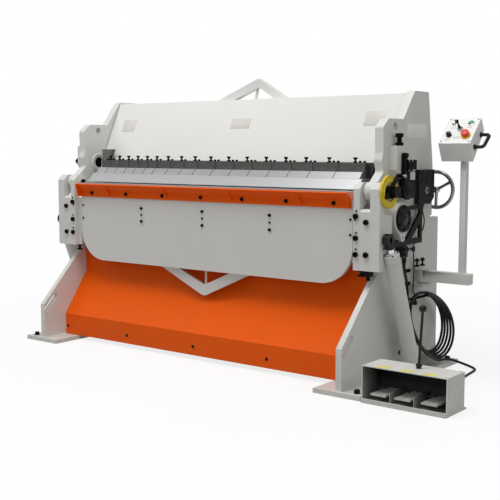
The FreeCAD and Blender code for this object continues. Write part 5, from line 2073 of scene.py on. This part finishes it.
@dataclass
class Panel:
    """The console's slope: places on it, its square direction and its controls."""

    low: Two = (320.0, 224.0)
    top: Two = (441.0, 347.0)
    stop: Two = (1318.0, 262.0)
    start: Two = (1317.0, 320.0)
    stick: Two = (1274.0, 292.0)
    selector: Two = (1235.0, 319.0)
    knob: Two = (1231.0, 262.0)
    side_x: float = 1357.0
    grip_x: float = 1403.0
    handle_high: Two = (438.0, 265.0)
    handle_low: Two = (370.0, 207.0)
    bend: float = 16.0
    grip: float = 8.4

    def normal(self) -> Points:
        """The direction square to the slope."""
        return unit(np.array([0, self.low[1] - self.top[1], self.top[0] - self.low[0]], float))

    def point(self, place: Two, lift: float = 0.0) -> Points:
        """A point above the slope, from its x and the height z on the slope.

        Args:
            place: its x and its height on the slope.
            lift: how far it stands off.

        Returns:
            The point.
        """
        share = (place[1] - self.low[1]) / (self.top[1] - self.low[1])
        y = self.low[0] + share * (self.top[0] - self.low[0])
        return np.array([place[0], y, place[1]]) + self.normal() * lift

    def turned(self, place: Two, rows: Sequence[Point], sides: int = 40) -> Points:
        """A lathe form that stands on the slope."""
        return lathe(rows, self.point(place), self.normal(), sides)

    def slab(
        self, x0: float, x1: float, z0: float, z1: float, low: float, high: float, edge: float
    ) -> Points:
        """A bevelled plate lying on the slope between two x and two z.

        Args:
            x0: its left.
            x1: its right.
            z0: its foot on the slope.
            z1: its top on the slope.
            low: lift of its under side.
            high: lift of its face.
            edge: width of its bevel.

        Returns:
            Rows by corners by 3.
        """
        flat = plate([(x0, z0), (x1, z0), (x1, z1), (x0, z1)], "y", low, high, edge)
        share = (flat[..., 2] - self.low[1]) / (self.top[1] - self.low[1])
        y = self.low[0] + share * (self.top[0] - self.low[0])
        return np.stack([flat[..., 0], y, flat[..., 2]], -1) + flat[..., 1:2] * self.normal()

    def rings(self) -> None:
        """Yellow ring, chrome bezels, stick flange, corner screws and blank legend plates."""
        ring = [(11.4, 0), (23.4, 0), (24.4, 0.8), (24, 2.2), (22.6, 2.8), (12.6, 2.8), (11.4, 2.2)]
        Shell().add(self.turned(self.stop, ring), capped=False).build(
            "stop_yellow_ring", Finishes.YELLOW, Body.CONSOLE)
        bezel = [(11.4, 0), (15.4, 0), (16, 0.7), (15.6, 2.8), (14.4, 3.6), (12.2, 3.6), (11.4, 2.8)]
        shell = Shell().add(self.turned(self.start, bezel), capped=False)
        shell.add(self.turned(self.selector, [(r + 0.3, h * 0.8) for r, h in bezel]), capped=False)
        shell.build("button_bezels", Finishes.CHROME, Body.CONSOLE)
        flange = [(9.2, 7.1), (13.0, 7.2), (14.2, 6), (14.2, 3), (15.4, 2.4), (15.8, 1.4), (15.8, 0)]
        Shell().add(self.turned(self.stick, flange[::-1]), capped=False).build(
            "stick_flange", Finishes.CHROME, Body.CONSOLE)
        spots = [self.point(p) for p in ((1203, 338), (1347, 338), (1203, 234), (1347, 234))]
        Shell().add(button_head(3.6, 2.4, self.normal()), spots).build(
            "panel_screws", Finishes.OXIDE, Body.CONSOLE)
        legends = Shell()
        for (x, z), drop in ((self.start, 17.0), (self.selector, 18.0), (self.knob, 18.0)):
            legends.add(self.slab(x - 13, x + 13, z - drop - 5, z - drop, 0.0, 0.7, 0.3))
        legends.add(self.slab(1256, 1292, 248, 256, 0.0, 0.7, 0.3))
        legends.build("blank_legends", Finishes.PALE_PLATE, Body.CONSOLE)

    def controls(self) -> None:
        """Moving controls: mushroom stop, button, stick with its boot, selector and knob."""
        stop = [
            (1, -7), (10.6, -7), (11, -6), (11, 11.6), (17, 11.6), (19.4, 12.8),
            (20, 15.4), (19.6, 20), (18, 23.4), (14, 25.4), (7, 26), (0.5, 26),
        ]
        piece = Shell().add(self.turned(self.stop, stop, 48)).build(
            "stop_mushroom", Finishes.RED, Body.E_STOP)
        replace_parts(piece, "e_stop")
        start = [(1, -8), (10.6, -8), (11, -7), (11, 7.6), (10, 8.8), (5, 9), (0.5, 8.7)]
        piece = Shell().add(self.turned(self.start, start)).build("start_cap", Finishes.GREEN, Body.START)
        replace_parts(piece, "start_button")
        count = 15
        fold = np.linspace(7.4, 5.2, count) * (1.0 - 0.17 * (np.arange(count) % 2))
        bellows = np.stack([fold, np.linspace(10.4, 26, count)], -1).tolist()
        boot = [(3.6, 10)] + bellows + [(4, 27)]
        shaft = [(4, 28), (4, 44), (5.2, 45), (5.2, 46.4)]
        ball = [(float(r), float(h)) for h, r in arc((52, 0), 9, 142, 4, 12)]
        lower = [(1, 4), (3.6, 4)]
        piece = Shell().add(self.turned(self.stick, lower + boot + shaft + ball, 36)).build(
            "stick_with_boot", Finishes.PLASTIC, Body.STICK)
        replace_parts(piece, "joystick")
        body = [(1, 0.3), (10.6, 0.3), (11, 0.8), (11, 9.2), (10.4, 10), (1, 10)]
        shell = Shell().add(self.turned(self.selector, body))
        x, z = self.selector
        shell.add(self.slab(x - 3.5, x + 3.5, z - 7.2, z + 7.2, 9.8, 19.6, 1.4))
        piece = shell.build("selector_turned", Finishes.CHROME, Body.SELECTOR)
        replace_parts(piece, "selector_switch")
        Shell().add(self.slab(x - 0.7, x + 0.7, z + 1, z + 6.2, 19.5, 19.9, 0.15)).build(
            "selector_line", Finishes.PLASTIC, Body.SELECTOR)
        knob = [
            (1, 0.3), (13.6, 0.3), (14, 0.9), (13.6, 3.4), (13, 4),
            (11.9, 16.4), (11, 18), (9, 18), (8, 17.2), (1, 17.2),
        ]
        body = lathe(knob, ORIGIN, self.normal(), 72)
        height = parted(body, self.normal())[0]
        side = ((height > 4.5) & (height < 17))[..., None]
        body = fluted(body, self.normal(), 18, 0.7, side) + self.point(self.knob)
        piece = Shell().add(body).build("knob_fluted", Finishes.PLASTIC, Body.KNOB)
        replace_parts(piece, "speed_knob")
        x, z = self.knob
        Shell().add(self.slab(x - 0.7, x + 0.7, z + 1.5, z + 5.6, 17.1, 17.6, 0.15)).build(
            "knob_line", Finishes.WHITE_PLATE, Body.KNOB, slot=Slot.PLASTIC)

    def handle(self) -> None:
        """The handle at the side: a bent tube with flanges."""
        x, bend = self.side_x, self.bend
        high, low = np.array(self.handle_high), np.array(self.handle_low)
        down = unit(low - high)
        turn = np.radians(np.linspace(0, 90, 9))[:, None]
        out, drop = self.grip_x - bend + bend * np.sin(turn), down * bend * (1 - np.cos(turn))
        first = np.concatenate([out, high + drop], 1)
        last = np.concatenate([out, low - drop], 1)
        path = np.concatenate([[[x, *high]], first, last[::-1], [[x, *low]]])
        shell = Shell().add(tube(path, self.grip, (0, down[1], -down[0]), 20))
        foot = [(8.2, 0), (13, 0), (13.6, 0.8), (13, 4), (9.4, 6.4), (8.2, 6.4)]
        for end in (high, low):
            shell.add(lathe(foot, (x, *end), RIGHT, 28), capped=False)
        piece = shell.build("handle_bent", Finishes.PLASTIC, Body.CONSOLE)
        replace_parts(piece, "console_handle")

    def build(self) -> None:
        """Makes rings, controls and handle."""
        self.rings()
        self.controls()
        self.handle()
        gland = [(4, 0), (11, 0), (11, 6), (8.6, 7), (8.6, 13), (6, 16), (4, 17)]
        Shell().add(lathe(gland, (1240, 410, 209), (0, 0.3, -1), 28)).build(
            "console_gland", Finishes.PLASTIC, Body.CONSOLE)


@dataclass
class PendantDress:
    """End plug and post welds of the pendant arm, and the screw of the console's collar."""

    post: Two = (1296.0, 399.0)
    half: float = 15.0
    foot: float = -405.0
    plug: Two = (1339.0, 1343.0)

    def build(self) -> None:
        """Makes the plug, the welds and the clamp screw."""
        plug = plate([(376, -456), (422, -456), (422, -407), (376, -407)], "x", *self.plug, 1.6)
        Shell().add(plug).build("arm_end_plug", Finishes.CREAM, Body.ARM)
        x, y = self.post
        shell = Shell()
        for s in SIDES:
            at = x + s * self.half
            shell.add(bead((at, y - self.half, self.foot), (at, y + self.half, self.foot), 2.6, UP))
        for s in SIDES:
            at = y + s * self.half
            shell.add(bead((x - self.half, at, self.foot), (x + self.half, at, self.foot), 2.6, UP))
        shell.build("post_welds", Finishes.CREAM, Body.ARM)
        Shell().add(socket_head(3.0, 3.4, FRONT), [(x, y - 18.6, 137.6)]).build(
            "collar_screws", Finishes.OXIDE, Body.CONSOLE)


@dataclass
class FootSwitch:
    """Treads on the pedals, blank plates and screws on the lid, and the pole's collar."""

    pedals: Three = (1242.0, 1362.0, 1490.0)
    top: float = -752.0
    patches: tuple[Four, ...] = (
        (1226, 1284, -297, -256), (1344, 1402, -297, -256), (1450, 1510, -297, -256),
    )

    def build(self) -> None:
        """Makes the dress of box and pedals."""
        bodies = (Body.PEDAL_LEFT, Body.PEDAL_MIDDLE, Body.PEDAL_RIGHT)
        for x, body in zip(self.pedals, bodies):
            shell = Shell()
            for y in np.arange(-288.0, -196.0, 15.0):
                rows = [(0.3, -33), (1.3, -32), (1.5, -30), (1.5, 30), (1.3, 32), (0.3, 33)]
                shell.add(lathe(rows, (x, y, -873.2), RIGHT, 10))
            shell.build("tread_" + body.value, Finishes.PEDAL, body)
        lid = Shell()
        for x0, x1, y0, y1 in self.patches:
            lid.add(plate([(x0, y0), (x1, y0), (x1, y1), (x0, y1)], "z", self.top, self.top + 0.9, 0.4))
        lid.build("lid_blank_plates", Finishes.PLATE)
        spots = [(x, y, self.top) for x in (1172, 1563) for y in (-288, -147)]
        shell = Shell().add(button_head(4, 2.6, UP), spots)
        shell.build("lid_screws", Finishes.BRIGHT)
        collar = [(6.2, 10), (14, 10), (15, 11), (15, 16), (12, 20), (8, 22), (6.2, 22)]
        Shell().add(lathe(collar, (1388.4, -200.8, self.top), (0.04, 0.015, 1), 28), capped=False).build(
            "pole_collar", Finishes.PLASTIC, slot=Slot.BLACK)


def main() -> None:
    """Loads the frame and builds the machine's looks in order."""
    logging.basicConfig(level=logging.INFO, format="%(name)s: %(message)s")
    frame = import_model()
    Studio().build()
    LOG.info("stage set")
    slots = {p["node"]: p["material_slot"] for p in frame["record"]["subparts"]}
    bodies = {name: node["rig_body"] for name, node in frame["nodes"].items()}
    crews = (
        Cables(FootCable()), FingerHardware(), ApronHardware(), Adjusters(), BlankPlates(),
        CoverScrews(), Welds(), JackScrews(), LevellingScrews(), Handwheel(), Gearbox(),
        BearingDress(), SwitchDress(), Rams(), FrameFittings(), PowerUnit(), Panel(),
        PendantDress(), FootSwitch(), Castings(frame["nodes"], slots, bodies),
    )
    known = set(bpy.data.objects.keys())
    for crew in crews:
        crew.build()
        for name in sorted(set(bpy.data.objects.keys()) - known):
            LOG.info("%s: %s", type(crew).__name__, name)
        known = set(bpy.data.objects.keys())


if __name__ == "__main__":
    main()
